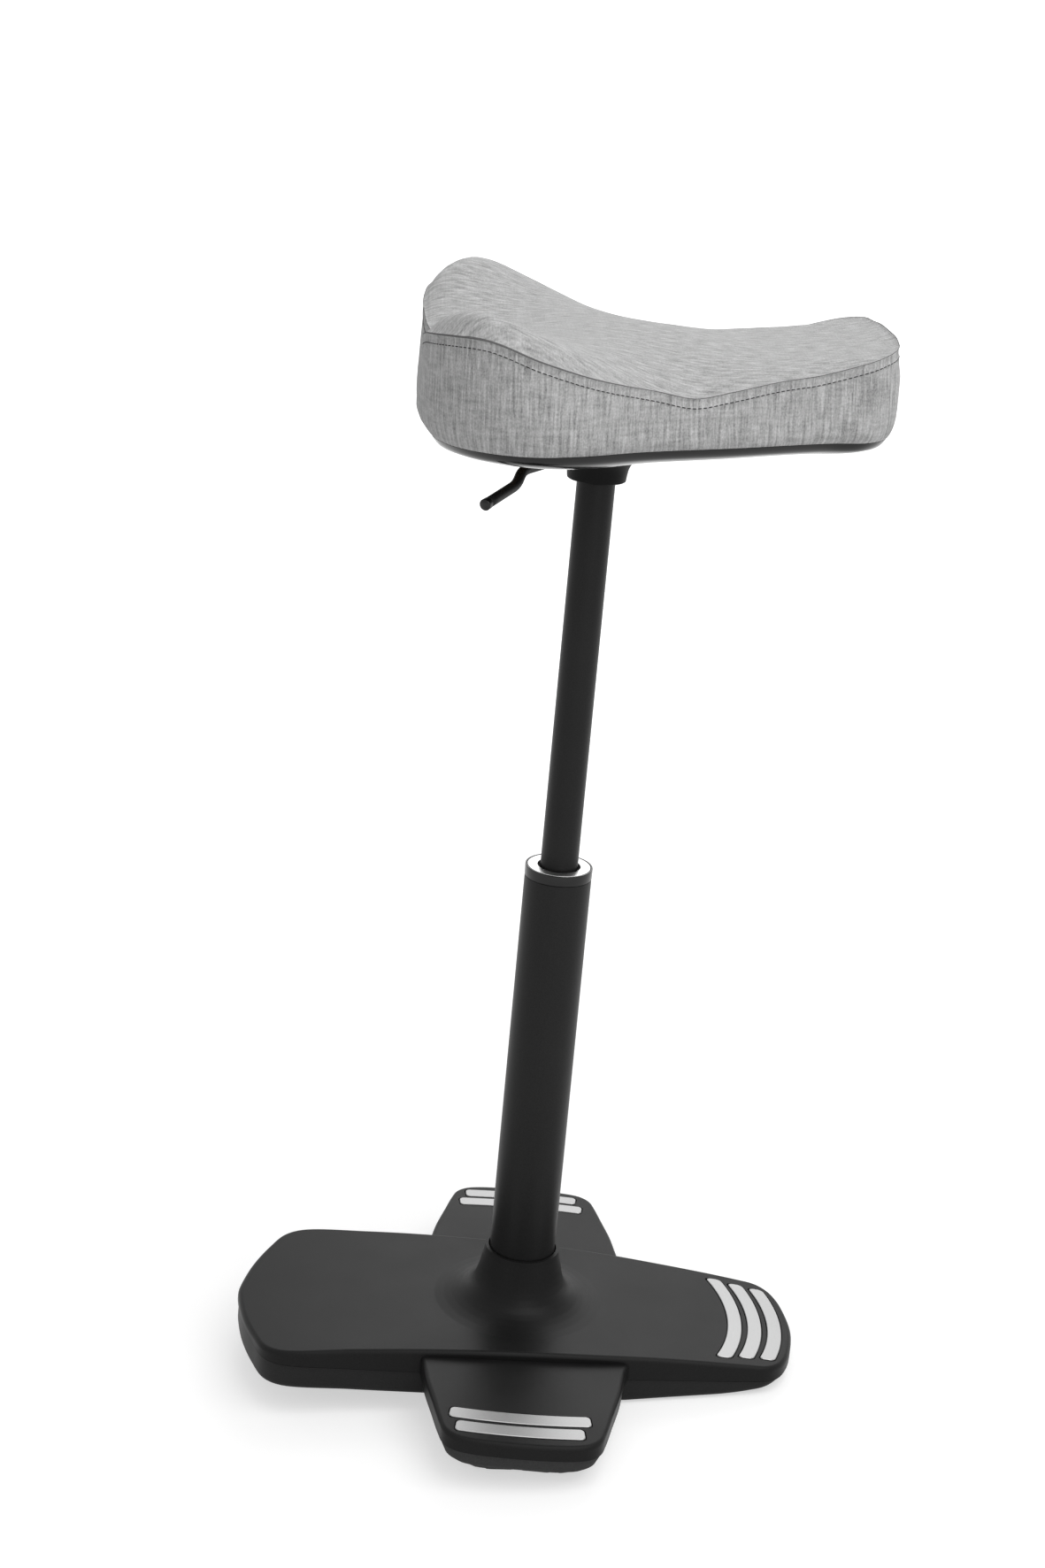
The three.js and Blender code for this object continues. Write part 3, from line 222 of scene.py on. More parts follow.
# Stage, in metres
FLOOR_HALF = 60
FLOOR_LIT, FLOOR_SEEN, WORLD_STRENGTH = 0.8, 0.6, 0.5
GLOW_NEAR, GLOW_FAR, GLOW_LOW, GLOW_HIGH = 0.4, 2.2, 0.55, 1.0
LAMPS = [((1.0, -0.8, 2.6), (0, 0, 0.5), 2.1, 30), ((0.9, -2.2, 1.5), (0, 0, 0.4), 1.6, 9),
         ((0.4, 1.8, 1.6), (0, 0, 0.6), 1.6, 12)]
CAMERA_PLACE, CAMERA_TILT = (0.008, -1.806, 1.075), math.radians(77.15)
LENS, SENSOR, SHIFT_UP = 59.12, 36, -0.17


# Shapes
def hermite(t):
    """Weights of both ends, then of both slopes, along a cubic piece."""
    return (2 * t ** 3 - 3 * t ** 2 + 1, 3 * t ** 2 - 2 * t ** 3,
            t ** 3 - 2 * t ** 2 + t, t ** 3 - t ** 2)


def bent(start, corner, end, t):
    """Point on the curve from start to end that the corner pulls."""
    return start * (1 - t) ** 2 + corner * 2 * t * (1 - t) + end * t ** 2


def lengths_along(points):
    """Length along a path at each of its points."""
    steps = np.linalg.norm(np.diff(points, axis=0), axis=1)
    return np.concatenate([[0], np.cumsum(steps)])


def closed_curve(points, count):
    """Evenly spaced points on a smooth closed curve through the given points."""
    p = np.asarray(points, float)
    before, after, beyond = np.roll(p, 1, 0), np.roll(p, -1, 0), np.roll(p, -2, 0)
    pairs = ((before, p), (p, after), (after, beyond))
    gap = [np.sqrt(np.linalg.norm(b - a, axis=1))[:, None] for a, b in pairs]
    start = ((p - before) / gap[0] - (after - before) / (gap[0] + gap[1])
             + (after - p) / gap[1]) * gap[1]
    end = ((after - p) / gap[1] - (beyond - p) / (gap[1] + gap[2])
           + (beyond - after) / gap[2]) * gap[1]
    t = np.linspace(0, 1, CURVE_STEPS + 1)[:-1][None, :, None]
    first, last, slope_first, slope_last = hermite(t)
    dense = p[:, None] * first + start[:, None] * slope_first
    dense = (dense + after[:, None] * last + end[:, None] * slope_last).reshape(-1, p.shape[1])
    dense = np.vstack([dense, dense[:1]])
    along = lengths_along(dense)
    wanted = np.linspace(0, along[-1], count + 1)[:-1]
    return np.column_stack([np.interp(wanted, along, dense[:, k]) for k in range(p.shape[1])])


def mirrored_loop(half, count):
    """A closed loop from its upper half, the same on both sides of the X axis."""
    upper = np.asarray(half, float)
    loop = closed_curve(np.vstack([upper, upper[1:-1][::-1] * [1, -1]]), count)
    mate = np.roll(loop[::-1], 1, 0)
    return np.column_stack([(loop[:, 0] + mate[:, 0]) / 2, (loop[:, 1] - mate[:, 1]) / 2])


def curve(table, x):
    """Smooth curve through a table's points."""
    tx, ty = np.array(table, float).T
    slope = np.gradient(ty, tx)
    x = np.clip(x, tx[0], tx[-1])
    i = np.clip(np.searchsorted(tx, x) - 1, 0, len(tx) - 2)
    h = tx[i + 1] - tx[i]
    first, last, slope_first, slope_last = hermite((x - tx[i]) / h)
    return (ty[i] * first + h * slope[i] * slope_first
            + ty[i + 1] * last + h * slope[i + 1] * slope_last)


def smoothstep(x, low, high):
    t = np.clip((x - low) / (high - low), 0, 1)
    return t * t * (3 - 2 * t)


def inset(loop, spine, distance):
    """Moves a loop's points towards the spine of its piece."""
    foot = np.column_stack([np.clip(loop[:, 0], *spine), np.zeros(len(loop))])
    way = foot - loop
    return loop + way / np.maximum(np.linalg.norm(way, axis=1), TINY)[:, None] * distance


def ring(flat, height):
    return np.column_stack([flat, np.broadcast_to(height, len(flat))])


def strip_faces(count, start, flip):
    """Closes a mirrored ring with strips between its matching points."""
    faces = []
    for i in range(count // 2):
        corners = [i, i + 1, count - i - 1, (count - i) % count]
        corners = list(dict.fromkeys(start + k for k in corners))
        faces.append(corners[::-1] if flip else corners)
    return faces


def band_faces(count, bands, start=0):
    """Faces between rings of matching points that follow each other."""
    faces = []
    for level in range(bands):
        for i in range(count):
            a, b = (start + level * count + k for k in (i, (i + 1) % count))
            faces.append([a, b, b + count, a + count])
    return faces


def lofted(rings):
    """Vertices and faces of a body from rings of matching points, lowest first."""
    count = len(rings[0])
    faces = band_faces(count, len(rings) - 1) + strip_faces(count, 0, True)
    return np.vstack(rings), faces + strip_faces(count, (len(rings) - 1) * count, False)


def prism(rows):
    """Vertices and faces of a straight body between two matching rows of points."""
    count = len(rows[0])
    faces = [list(range(count))[::-1], list(range(count, 2 * count))] + band_faces(count, 1)
    return np.vstack(rows), faces


def turned(profile, sides=SIDES):
    """Vertices and faces of a profile of radius and height turned about the column's axis."""
    angle = np.arange(sides) / sides * 2 * math.pi
    rows = [np.column_stack([r * np.cos(angle), r * np.sin(angle), np.full(sides, z)])
            for r, z in profile]
    faces = []
    for level in range(len(rows)):
        below, above = level * sides, (level + 1) % len(rows) * sides
        for i in range(sides):
            j = (i + 1) % sides
            faces.append([below + i, below + j, above + j, above + i])
    return np.vstack(rows), faces


def rounded(points, radius):
    """Rounds the corners of an open profile."""
    done = [points[0]]
    for before, corner, after in zip(points, points[1:], points[2:]):
        a, b, c = (np.array(p, float) for p in (before, corner, after))
        reach = min(radius, *(np.linalg.norm(p - b) * CORNER_SHARE for p in (a, c)))
        start, end = (b + (p - b) / np.linalg.norm(p - b) * reach for p in (a, c))
        for k in range(CORNER_STEPS + 1):
            done.append(tuple(bent(start, b, end, k / CORNER_STEPS)))
    done.append(points[-1])
    return done


def block(x0, x1, y0, y1, z0, z1):
    verts = [(x, y, z) for x in (x0, x1) for y in (y0, y1) for z in (z0, z1)]
    faces = [[0, 1, 3, 2], [4, 6, 7, 5], [0, 4, 5, 1], [2, 3, 7, 6], [0, 2, 6, 4], [1, 5, 7, 3]]
    return np.array(verts, float), faces


def mesh_object(name, shape, tilt=True):
    """An object from a shape in millimetres, leaned with the column where tilt is set."""
    verts, faces = shape
    mesh = bpy.data.meshes.new(name)
    mesh.from_pydata((np.asarray(verts) * MM).tolist(), [], faces)
    if tilt:
        mesh.transform(TILT)
    mesh.update()
    made = bpy.data.objects.new(name, mesh)
    bpy.context.scene.collection.objects.link(made)
    return made


def tidy_mesh(made):
    work = bmesh.new()
    work.from_mesh(made.data)
    bmesh.ops.remove_doubles(work, verts=work.verts, dist=WELD)
    bmesh.ops.dissolve_degenerate(work, edges=work.edges, dist=WELD)
    bmesh.ops.recalc_face_normals(work, faces=work.faces)
    work.to_mesh(made.data)
    work.free()


def combine(base, other, operation):
    """Joins or cuts base with other, which is then removed."""
    step = base.modifiers.new("step", "BOOLEAN")
    step.operation, step.object, step.solver = operation, other, "MANIFOLD"
    graph = bpy.context.evaluated_depsgraph_get()
    result = bpy.data.meshes.new_from_object(base.evaluated_get(graph))
    base.modifiers.clear()
    base.data = result
    bpy.data.objects.remove(other)


def cutter(shape, tilt=True):
    made = mesh_object("cutter", shape, tilt)
    tidy_mesh(made)
    return made


def finish(made, body, material, nodes, sharp):
    """Shades a piece, gives it its material and hangs it on its body."""
    tidy_mesh(made)
    made.data.materials.clear()
    made.data.materials.append(material)
    for face in made.data.polygons:
        face.use_smooth = True
    made.data.set_sharp_from_angle(angle=math.radians(sharp))
    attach(made, body)
    if nodes:
        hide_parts(*nodes)


# Materials
def srgb(level):
    """Linear value of a grey level from 0 to 255."""
    value = level / 255
    return value / 12.92 if value <= 0.04045 else ((value + 0.055) / 1.055) ** 2.4


class Tree:
    """The node tree of a material or a world."""

    def __init__(self, owner):
        owner.use_nodes = True
        self.nodes, self.links = owner.node_tree.nodes, owner.node_tree.links

    def node(self, kind, **inputs):
        """A new node. Inputs go by name, or by number after an underscore."""
        made = self.nodes.new(kind)
        for key, value in inputs.items():
            numbered = key[0] == "_"
            self.put(value, made.inputs[int(key[1:]) if numbered else key.replace("_", " ")])
        return made

    def put(self, value, target):
        if isinstance(value, bpy.types.NodeSocket):
            self.links.new(value, target)
        else:
            target.default_value = value

    def math(self, operation, a, b):
        made = self.node("ShaderNodeMath", _0=a, _1=b)
        made.operation = operation
        return made.outputs[0]


class Look(Tree):
    """A material made of nodes."""

    def __init__(self, name, **sockets):
        self.material = bpy.data.materials.new(name)
        super().__init__(self.material)
        self.shader = self.nodes["Principled BSDF"]
        self.set(**sockets)
        self.place = self.nodes.new("ShaderNodeTexCoord").outputs["Object"]

    def noise(self, scale, detail, rough=0.5, stretch=(1, 1, 1), place=None):
        mapping = self.node("ShaderNodeMapping", Vector=place or self.place, Scale=stretch)
        return self.node("ShaderNodeTexNoise", Vector=mapping.outputs[0], Scale=scale,
                         Detail=detail, Roughness=rough).outputs["Fac"]

    def blend(self, *parts):
        """Sum of values, each times its share."""
        total, *rest = [self.math("MULTIPLY", value, share) for value, share in parts]
        for part in rest:
            total = self.math("ADD", total, part)
        return total

    def uneven(self, factor, middle, swing):
        """A value that swings about its middle."""
        return self.math("ADD", self.math("MULTIPLY", factor, swing), middle - swing / 2)

    def ramp(self, factor, *stops):
        made = self.node("ShaderNodeValToRGB", Fac=factor)
        while len(made.color_ramp.elements) < len(stops):
            made.color_ramp.elements.new(0.5)
        for element, (place, colour) in zip(made.color_ramp.elements, stops):
            element.position = place
            element.color = (*(colour if hasattr(colour, "__len__") else [colour] * 3), 1)
        return made.outputs["Color"]

    def tones(self, factor, low, high, level, spread):
        """Greys about a level, darkest where the factor is low."""
        middle = srgb(level)
        return self.ramp(factor, (low, middle * (1 - spread)), (high, middle * (1 + spread)))

    def bump(self, height, distance, strength=1.0):
        made = self.node("ShaderNodeBump", Height=height, Distance=distance, Strength=strength)
        return made.outputs["Normal"]

    def set(self, **sockets):
        for socket, value in sockets.items():
            self.put(value, self.shader.inputs[socket.replace("_", " ")])
        return self.material


def moulded(name, level, roughness, specular, grain=0.00006):
    """Moulded plastic, paint or rubber: fine grain, faint blotches and uneven gloss."""
    look = Look(name, Specular_IOR_Level=specular)
    fine, broad = look.noise(1500, 2), look.noise(22, 3)
    colour = look.tones(look.blend((fine, 0.7), (broad, 0.3)), 0.35, 0.65, level, 0.25)
    return look.set(Base_Color=colour, Roughness=look.uneven(broad, roughness, 0.12),
                    Normal=look.bump(fine, grain))


def metal(name, level, roughness, scale=900, spread=0.1):
    """Bare metal with a fine grain."""
    look = Look(name, Metallic=1.0)
    fine = look.noise(scale, 3)
    return look.set(Base_Color=look.tones(fine, 0.3, 0.7, level, spread),
                    Roughness=look.uneven(fine, roughness, 0.2), Normal=look.bump(fine, 0.00002))


def plywood(name):
    """Plies along the edge and grain along the face."""
    look = Look(name, Roughness=0.7)
    plies = look.noise(40, 4, stretch=(0.2, 0.2, 14))
    grain = look.noise(60, 5, stretch=(0.3, 6, 1))
    colour = look.ramp(look.blend((plies, 0.5), (grain, 0.5)),
                       (0.3, (0.30, 0.18, 0.09)), (0.7, (0.55, 0.38, 0.22)))
    return look.set(Base_Color=colour, Normal=look.bump(grain, 0.0001))


def fabric(name, across, along, contrast):
    """Heather grey knit. across and along scale the streaks of its yarn on the panel's own map."""
    look = Look(name, Roughness=0.92, Specular_IOR_Level=0.2, Sheen_Weight=0.25,
                Sheen_Roughness=0.5)
    panel = look.nodes.new("ShaderNodeUVMap")
    panel.uv_map = "panel"
    place = panel.outputs[0]
    streak = look.noise(1.0, 3, 0.6, (across, along, 1), place)
    yarn = look.noise(1.0, 2, 0.6, (900, 620, 1), place)
    slub = look.noise(1.0, 2, 0.5, (70, 300, 1), place)
    wave = look.node("ShaderNodeTexWave", Vector=place, Scale=110.0, Distortion=3.0, Detail=2.0,
                     Detail_Scale=40)
    mix = look.blend((streak, 0.5), (yarn, 0.3), (slub, 0.2))
    level = srgb(178)
    colour = look.ramp(mix, (0.36, level * (1 - contrast)), (0.5, level),
                       (0.64, level * (1 + contrast)))
    height = look.blend((wave.outputs["Fac"], 0.35), (mix, 1.4))
    return look.set(Base_Color=colour, Normal=look.bump(height, 0.0005, 0.8))


plastic = moulded("black_plastic", 24, 0.4, 0.12)
tray_plastic = moulded("tray_plastic", 34, 0.5, 0.14)
hub_paint = moulded("hub_paint", 18, 0.5, 0.08, 0.00003)
collar_paint = moulded("column_paint", 30, 0.42, 0.14, 0.00003)
gloss = moulded("gloss_black", 14, 0.2, 0.3, 0.000008)
rubber = moulded("rubber", 60, 0.8, 0.1, 0.0001)
guide = moulded("guide_plastic", 50, 0.4, 0.4)
grip = metal("grip_aluminium", 163, 0.42, 1400, 0.08)
silver = metal("ring_aluminium", 205, 0.34, 900, 0.06)
steel = metal("bright_steel", 165, 0.3)
board = plywood("plywood")
side_fabric = fabric("side_fabric", 520, 38, 0.5)
top_fabric = fabric("top_fabric", 90, 420, 0.45)
# Painted shade: a darker grey on the fabric in the seam's ditch, standing in for the shade that
# falls into the crease.
seam_painted_shade = moulded("seam_painted_shade", 112, 0.95, 0.05, 0.0001)
thread = moulded("thread", 60, 0.9, 0.1, 0.0001)

NODE_LOOKS = {
    "tray_screw": steel, "ballast_plate": steel, "column_socket": steel, "socket_bolt": steel,
    "pad": rubber, "guide_sleeve": guide, "end_plate": steel, "thrust": steel, "bumper": rubber,
    "piston_rod": steel, "piston": guide, "rod_clip": steel, "rod_gland": guide, "valve": steel,
    "seat_plate": collar_paint, "plate_screw": steel, "seat_board": board, "lever_pin": steel,
}
for name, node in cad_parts.items():
    found = next((look for key, look in NODE_LOOKS.items() if key in name), plastic)
    node.data.materials.clear()
    node.data.materials.append(found)


# Base
def arch(x):
    """Height of the body's top."""
    return ARCH_TOP - (x - ARCH_FORWARD) ** 2 / (2 * ARCH_RADIUS)


def tab_height(reach):
    """Height of a tab's top."""
    return TAB_TOP - np.maximum(reach - TAB_ARCH_START, 0) ** 2 / (2 * TAB_ARCH_RADIUS)


def tray_bottom(x):
    """Height of the tray's underside, which clears the front facet and curls up at its end."""
    facet = (FACET_RISE + x * math.sin(LEAN)) / math.cos(LEAN)
    return np.maximum(TRAY_FLOOR, facet + np.maximum(x - FACET_CURL_START, 0) ** 2 / FACET_CURL)


BODY_LOOP = mirrored_loop(
    [(x * (BODY_REAR if x < 0 else BODY_FRONT), y * BODY_HALF_WIDTH) for x, y in BODY_SHARES],
    BODY_POINTS)
BODY_SPINE = (-BODY_REAR + BODY_HALF_WIDTH, BODY_FRONT - BODY_HALF_WIDTH * 0.7)
TAB_LOOP = mirrored_loop(
    [(x * TAB_REACH, y * TAB_HALF_WIDTH) for x, y in TAB_SHARES], TAB_POINTS)
TAB_SPINE = (TAB_REACH * TAB_ROOT, TAB_REACH - TAB_HALF_WIDTH)


def cover_rings(loop, spine, top, grow, low):
    """Rings of the body or a tab, or of the room inside it where grow is its wall."""
    rings = [ring(inset(loop, spine, grow), low)]
    if grow == 0:
        rings.append(ring(inset(loop, spine, SEAM_STEP), low + SEAM_STEP_RISE))
    for angle in np.linspace(0, math.pi / 2, EDGE_STEPS):
        flat = inset(loop, spine, grow + EDGE_ROUND * (1 - math.cos(angle)))
        rings.append(ring(flat, top(flat[:, 0]) - grow - EDGE_ROUND * (1 - math.sin(angle))))
    for more in EDGE_LANDS:
        flat = inset(loop, spine, grow + EDGE_ROUND + more)
        rings.append(ring(flat, top(flat[:, 0]) - grow))
    return rings


def turn_tab(shape, side, forward=TAB_FORWARD):
    """Turns a shape that runs along X to one side of the base."""
    verts, faces = shape
    x, y, z = np.asarray(verts).T
    return np.column_stack([-side * y + forward, side * x, z]), faces


def collar_shape():
    """Turned collar whose foot follows the arched top."""
    profile = [(COLLAR_BORE, COLLAR_TOP), *rounded(COLLAR, COLLAR_ROUND),
               (COLLAR_BORE, COLLAR_FOOT)]
    verts, faces = turned(profile, FINE_SIDES)
    radius = np.hypot(verts[:, 0], verts[:, 1])
    share = np.clip((radius - COLLAR_BLEND_START) / COLLAR_BLEND_WIDTH, 0, 1)
    share *= verts[:, 2] < COLLAR_BLEND_TOP
    verts[:, 2] -= share * (ARCH_TOP - arch(verts[:, 0]))
    return verts, faces


def strip_grid(strip, grow, height):
    """Points on a curved strip with rounded corners, in rows across its width."""
    start, width, radius, half, top, along_x = strip
    share = (1 - np.cos(np.linspace(0, math.pi, STRIP_ROWS))) / 2
    grid = []
    for part in share:
        across = (part - 0.5) * (width + 2 * grow)
        edge = max(abs(across) - (width / 2 + grow - STRIP_CORNER), 0)
        pulled = half + grow - STRIP_CORNER + math.sqrt(max(STRIP_CORNER ** 2 - edge ** 2, 0))
        r = radius + width / 2 + across
        reach = math.asin(pulled / (r if along_x else radius))
        angle = np.linspace(-reach, reach, STRIP_COLUMNS)
        x = start - radius + r * np.cos(angle)
        grid.append(np.column_stack([x, r * np.sin(angle), top(x) + height]))
    return np.array(grid)


def strip_shape(strip, grow, low, high, chamfer):
    """A closed strip: its top face, a chamfered edge, its side and its bottom face."""
    grids = [strip_grid(strip, grow - chamfer, high), strip_grid(strip, grow, high - chamfer),
             strip_grid(strip, grow, low)]
    rows, columns = grids[0].shape[:2]
    size = rows * columns
    border = [(0, c) for c in range(columns)] + [(r, columns - 1) for r in range(1, rows)]
    border += [(rows - 1, c) for c in range(columns - 2, -1, -1)]
    border += [(r, 0) for r in range(rows - 2, 0, -1)]
    border = [r * columns + c for r, c in border]
    faces = []
    for r in range(rows - 1):
        for c in range(columns - 1):
            near, far = r * columns + c, (r + 1) * columns + c
            face = [near, near + 1, far + 1, far]
            faces.append(face)
            faces.append([2 * size + k for k in face[::-1]])
    for level in (0, size):
        for a, b in zip(border, border[1:] + border[:1]):
            faces.append([level + a, level + b, level + size + b, level + size + a])
    return np.vstack([g.reshape(-1, 3) for g in grids]), faces


FRONT_STRIPS = [
    (FRONT_STRIP_START + FRONT_STRIP_PITCH * i, FRONT_STRIP_WIDTH, FRONT_STRIP_RADIUS, half,
     arch, True) for i, half in enumerate(FRONT_STRIP_HALVES)]
TAB_STRIPS = [
    (TAB_STRIP_START + TAB_STRIP_PITCH * i, TAB_STRIP_WIDTH, TAB_STRIP_RADIUS, half,
     tab_height, False) for i, half in enumerate(TAB_STRIP_HALVES)]
STRIPS = [(f"front_grip_{i + 1}", strip, 0) for i, strip in enumerate(FRONT_STRIPS)]
STRIPS += [(f"{word}_grip_{place}", strip, side) for side, word in ((-1, "near"), (1, "far"))
           for place, strip in zip(("inner", "outer"), TAB_STRIPS)]


def placed_strip(strip, side, sizes):
    shape = strip_shape(strip, *sizes)
    return turn_tab(shape, side, TAB_STRIP_FORWARD) if side else shape


def build_cover():
    def parts(grow, low):
        yield lofted(cover_rings(BODY_LOOP, BODY_SPINE, arch, grow, low))
        for side in (1, -1):
            yield turn_tab(lofted(cover_rings(TAB_LOOP, TAB_SPINE, tab_height, grow, low)), side)

    outer, *rest = [cutter(shape) for shape in parts(0, SEAM)]
    for other in [*rest, cutter(collar_shape())]:
        combine(outer, other, "UNION")
    inner, *rest = [cutter(shape) for shape in parts(WALL, SEAM - CUT_MARGIN)]
    for other in rest:
        combine(inner, other, "UNION")
    combine(outer, inner, "DIFFERENCE")
    bore = turned([(AXIS_RADIUS, BORE_LOW), (COLLAR_BORE, BORE_LOW), (COLLAR_BORE, BORE_HIGH),
                   (AXIS_RADIUS, BORE_HIGH)], FINE_SIDES)
    combine(outer, cutter(bore), "DIFFERENCE")
    for _, strip, side in STRIPS:
        combine(outer, cutter(placed_strip(strip, side, STRIP_RECESS)), "DIFFERENCE")
    outer.name = "cover"
    finish(outer, "base", plastic, ["base_cover"], 40)


def build_tray():
    def flat(move):
        return inset(BODY_LOOP, BODY_SPINE, TRAY_INSET + move)

    def rings(grow, top):
        angles = np.linspace(math.pi / 2, 0, TRAY_STEPS)
        steps = [(TRAY_ROUND * (1 - math.cos(a)), TRAY_ROUND * (1 - math.sin(a))) for a in angles]
        made = []
        for move, rise in [(TRAY_LAND, 0), *steps]:
            loop = flat(grow + move)
            made.append(ring(loop, tray_bottom(loop[:, 0]) + grow + rise))
        return [*made, ring(flat(grow), top)]

    top = SEAM - CLEARANCE
    lip = [ring(flat(move), top - drop) for move, drop in TRAY_LIP]
    tray = cutter(lofted(rings(0, top - TRAY_LIP_FOOT) + lip))
    combine(tray, cutter(lofted(rings(TRAY_WALL, SEAM + CUT_MARGIN))), "DIFFERENCE")
    tray.name = "tray"
    finish(tray, "base", tray_plastic, ["base_tray"], 40)


def groove(x, side, low):
    """A tread groove with sloping sides under one tab."""
    ends = sorted((side * GROOVE_START, side * GROOVE_END))
    return prism([[(x + across, y, low + rise) for across, rise in GROOVE_PROFILE] for y in ends])


def build_sole():
    """Both tabs' rubber with a bar between them, cut to the tray and to the two rocking facets."""
    span = SOLE_INSET - SOLE_TOP_INSET
    pad = lofted([ring(inset(TAB_LOOP, TAB_SPINE, SOLE_TOP_INSET + share * span), z)
                  for share, z in SOLE_LEVELS])
    sole = cutter(turn_tab(pad, 1))
    combine(sole, cutter(turn_tab(pad, -1)), "UNION")
    half = TAB_HALF_WIDTH * TAB_END_WIDTH - SOLE_INSET / 2
    bar = block(TAB_FORWARD - half, TAB_FORWARD + half, -SOLE_BAR_REACH, SOLE_BAR_REACH,
                -CUT_MARGIN, TRAY_FLOOR - CLEARANCE)
    combine(sole, cutter(bar), "UNION")
    flat = inset(BODY_LOOP, BODY_SPINE, TRAY_INSET - CLEARANCE - SOLE_ROOM)
    room = [ring(flat, tray_bottom(flat[:, 0]) - CLEARANCE), ring(flat, SEAM + CUT_MARGIN)]
    combine(sole, cutter(lofted(room)), "DIFFERENCE")
    slope = math.tan(LEAN)
    rock = ROCK_X * slope
    outline = [(-ROCK_REAR, -ROCK_DEPTH), (-ROCK_REAR, rock), (ROCK_X, rock),
               (ROCK_FRONT, ROCK_FRONT * slope), (ROCK_FRONT, -ROCK_DEPTH)]
    ground = prism([[(x, y, z) for x, z in outline] for y in (-ROCK_HALF, ROCK_HALF)])
    combine(sole, cutter(ground), "DIFFERENCE")
    for step in (-1, 0, 1):
        x = GROOVE_FORWARD + GROOVE_PITCH * step
        for side in (-1, 1):
            combine(sole, cutter(groove(x, side, max(rock, x * slope))), "DIFFERENCE")
    sole.name = "sole"
    finish(sole, "base", rubber, ["rocker_sole"], 35)


build_cover()
build_tray()
build_sole()
for name, strip, side in STRIPS:
    made = mesh_object(name.replace("grip", "strip"), placed_strip(strip, side, STRIP_BODY))
    finish(made, "base", grip, [name], 25)


# Column and lift
def turned_tube(name, radii, heights, body, material, node, round_off):
    """A tube about the column's axis, with its edges rounded off."""
    (inner, outer), (low, high) = radii, heights
    points = [(inner, low), (outer, low), (outer, high), (inner, high)]
    points = rounded([*points, points[0]], round_off)[1:-1] + [points[0]]
    finish(mesh_object(name, turned(points)), body, material, [node], 40)


turned_tube("column", (COLUMN_BORE, COLUMN_RADIUS), (COLUMN_FOOT, COLUMN_TOP), "base",
            collar_paint, "column_tube", 0.3)
turned_tube("cap_ring", (CAP_BORE, CAP_RADIUS), (CAP_BOTTOM, CAP_TOP), "base",
            gloss, "column_cap", 0.5)
turned_tube("silver_ring", (GUIDE_BORE, GUIDE_RADIUS), (CAP_TOP - GUIDE_HEIGHT, CAP_TOP), "base",
            silver, "guide_ring", 0.4)
turned_tube("lift_tube", (LIFT_BORE, LIFT_RADIUS), (LIFT_BOTTOM, LIFT_TOP), "lift",
            collar_paint, "pressure_tube", 0.3)


# Seat
SEAT_LOOP = mirrored_loop(
    [(SEAT_REAR + x * SEAT_LENGTH, y * SEAT_HALF_WIDTH) for x, y in SEAT_SHARES], SEAT_POINTS)
SEAT_SPINE_INSET = SEAT_HALF_WIDTH * 0.45
SEAT_SPINE = (SEAT_REAR + SEAT_SPINE_INSET, SEAT_FRONT - SEAT_SPINE_INSET)


def seat_share(x):
    return (x - SEAT_REAR) / SEAT_LENGTH


def half_width(x):
    """Half width of the seat as if its ends were cut off square."""
    return curve(WIDTHS, seat_share(x)) * SEAT_HALF_WIDTH


def seat_ring(distance, height):
    """The seat's outline drawn in by a distance."""
    x, y = SEAT_LOOP.T
    along = 1 - 2 * distance / SEAT_LENGTH
    flat = [SEAT_MIDDLE + (x - SEAT_MIDDLE) * along, y * (1 - distance / half_width(x))]
    return ring(np.column_stack(flat), height)


def rounded_box(x0, x1, half, corner, z0, z1):
    """A box with upright edges rounded to the corner's radius."""
    flat = []
    for cx, cy, turn in ((x1 - corner, -half + corner, -1), (x1 - corner, half - corner, 0),
                         (x0 + corner, half - corner, 1), (x0 + corner, -half + corner, 2)):
        for k in range(BOX_CORNER_STEPS + 1):
            angle = (turn + k / BOX_CORNER_STEPS) * math.pi / 2
            flat.append((cx + corner * math.cos(angle), cy + corner * math.sin(angle)))
    flat = np.array(flat)
    return prism([ring(flat, z0), ring(flat, z1)])


def lever_room(run, low, high):
    """A block along the lever's run, measured from the valve."""
    start, end, width = run
    verts, faces = block(start, end, -width / 2, width / 2, low, high)
    turn = np.array([[WAY.x, WAY.y], [-WAY.y, WAY.x]])
    verts[:, :2] = verts[:, :2] @ turn + [VALVE.x, 0]
    return verts, faces


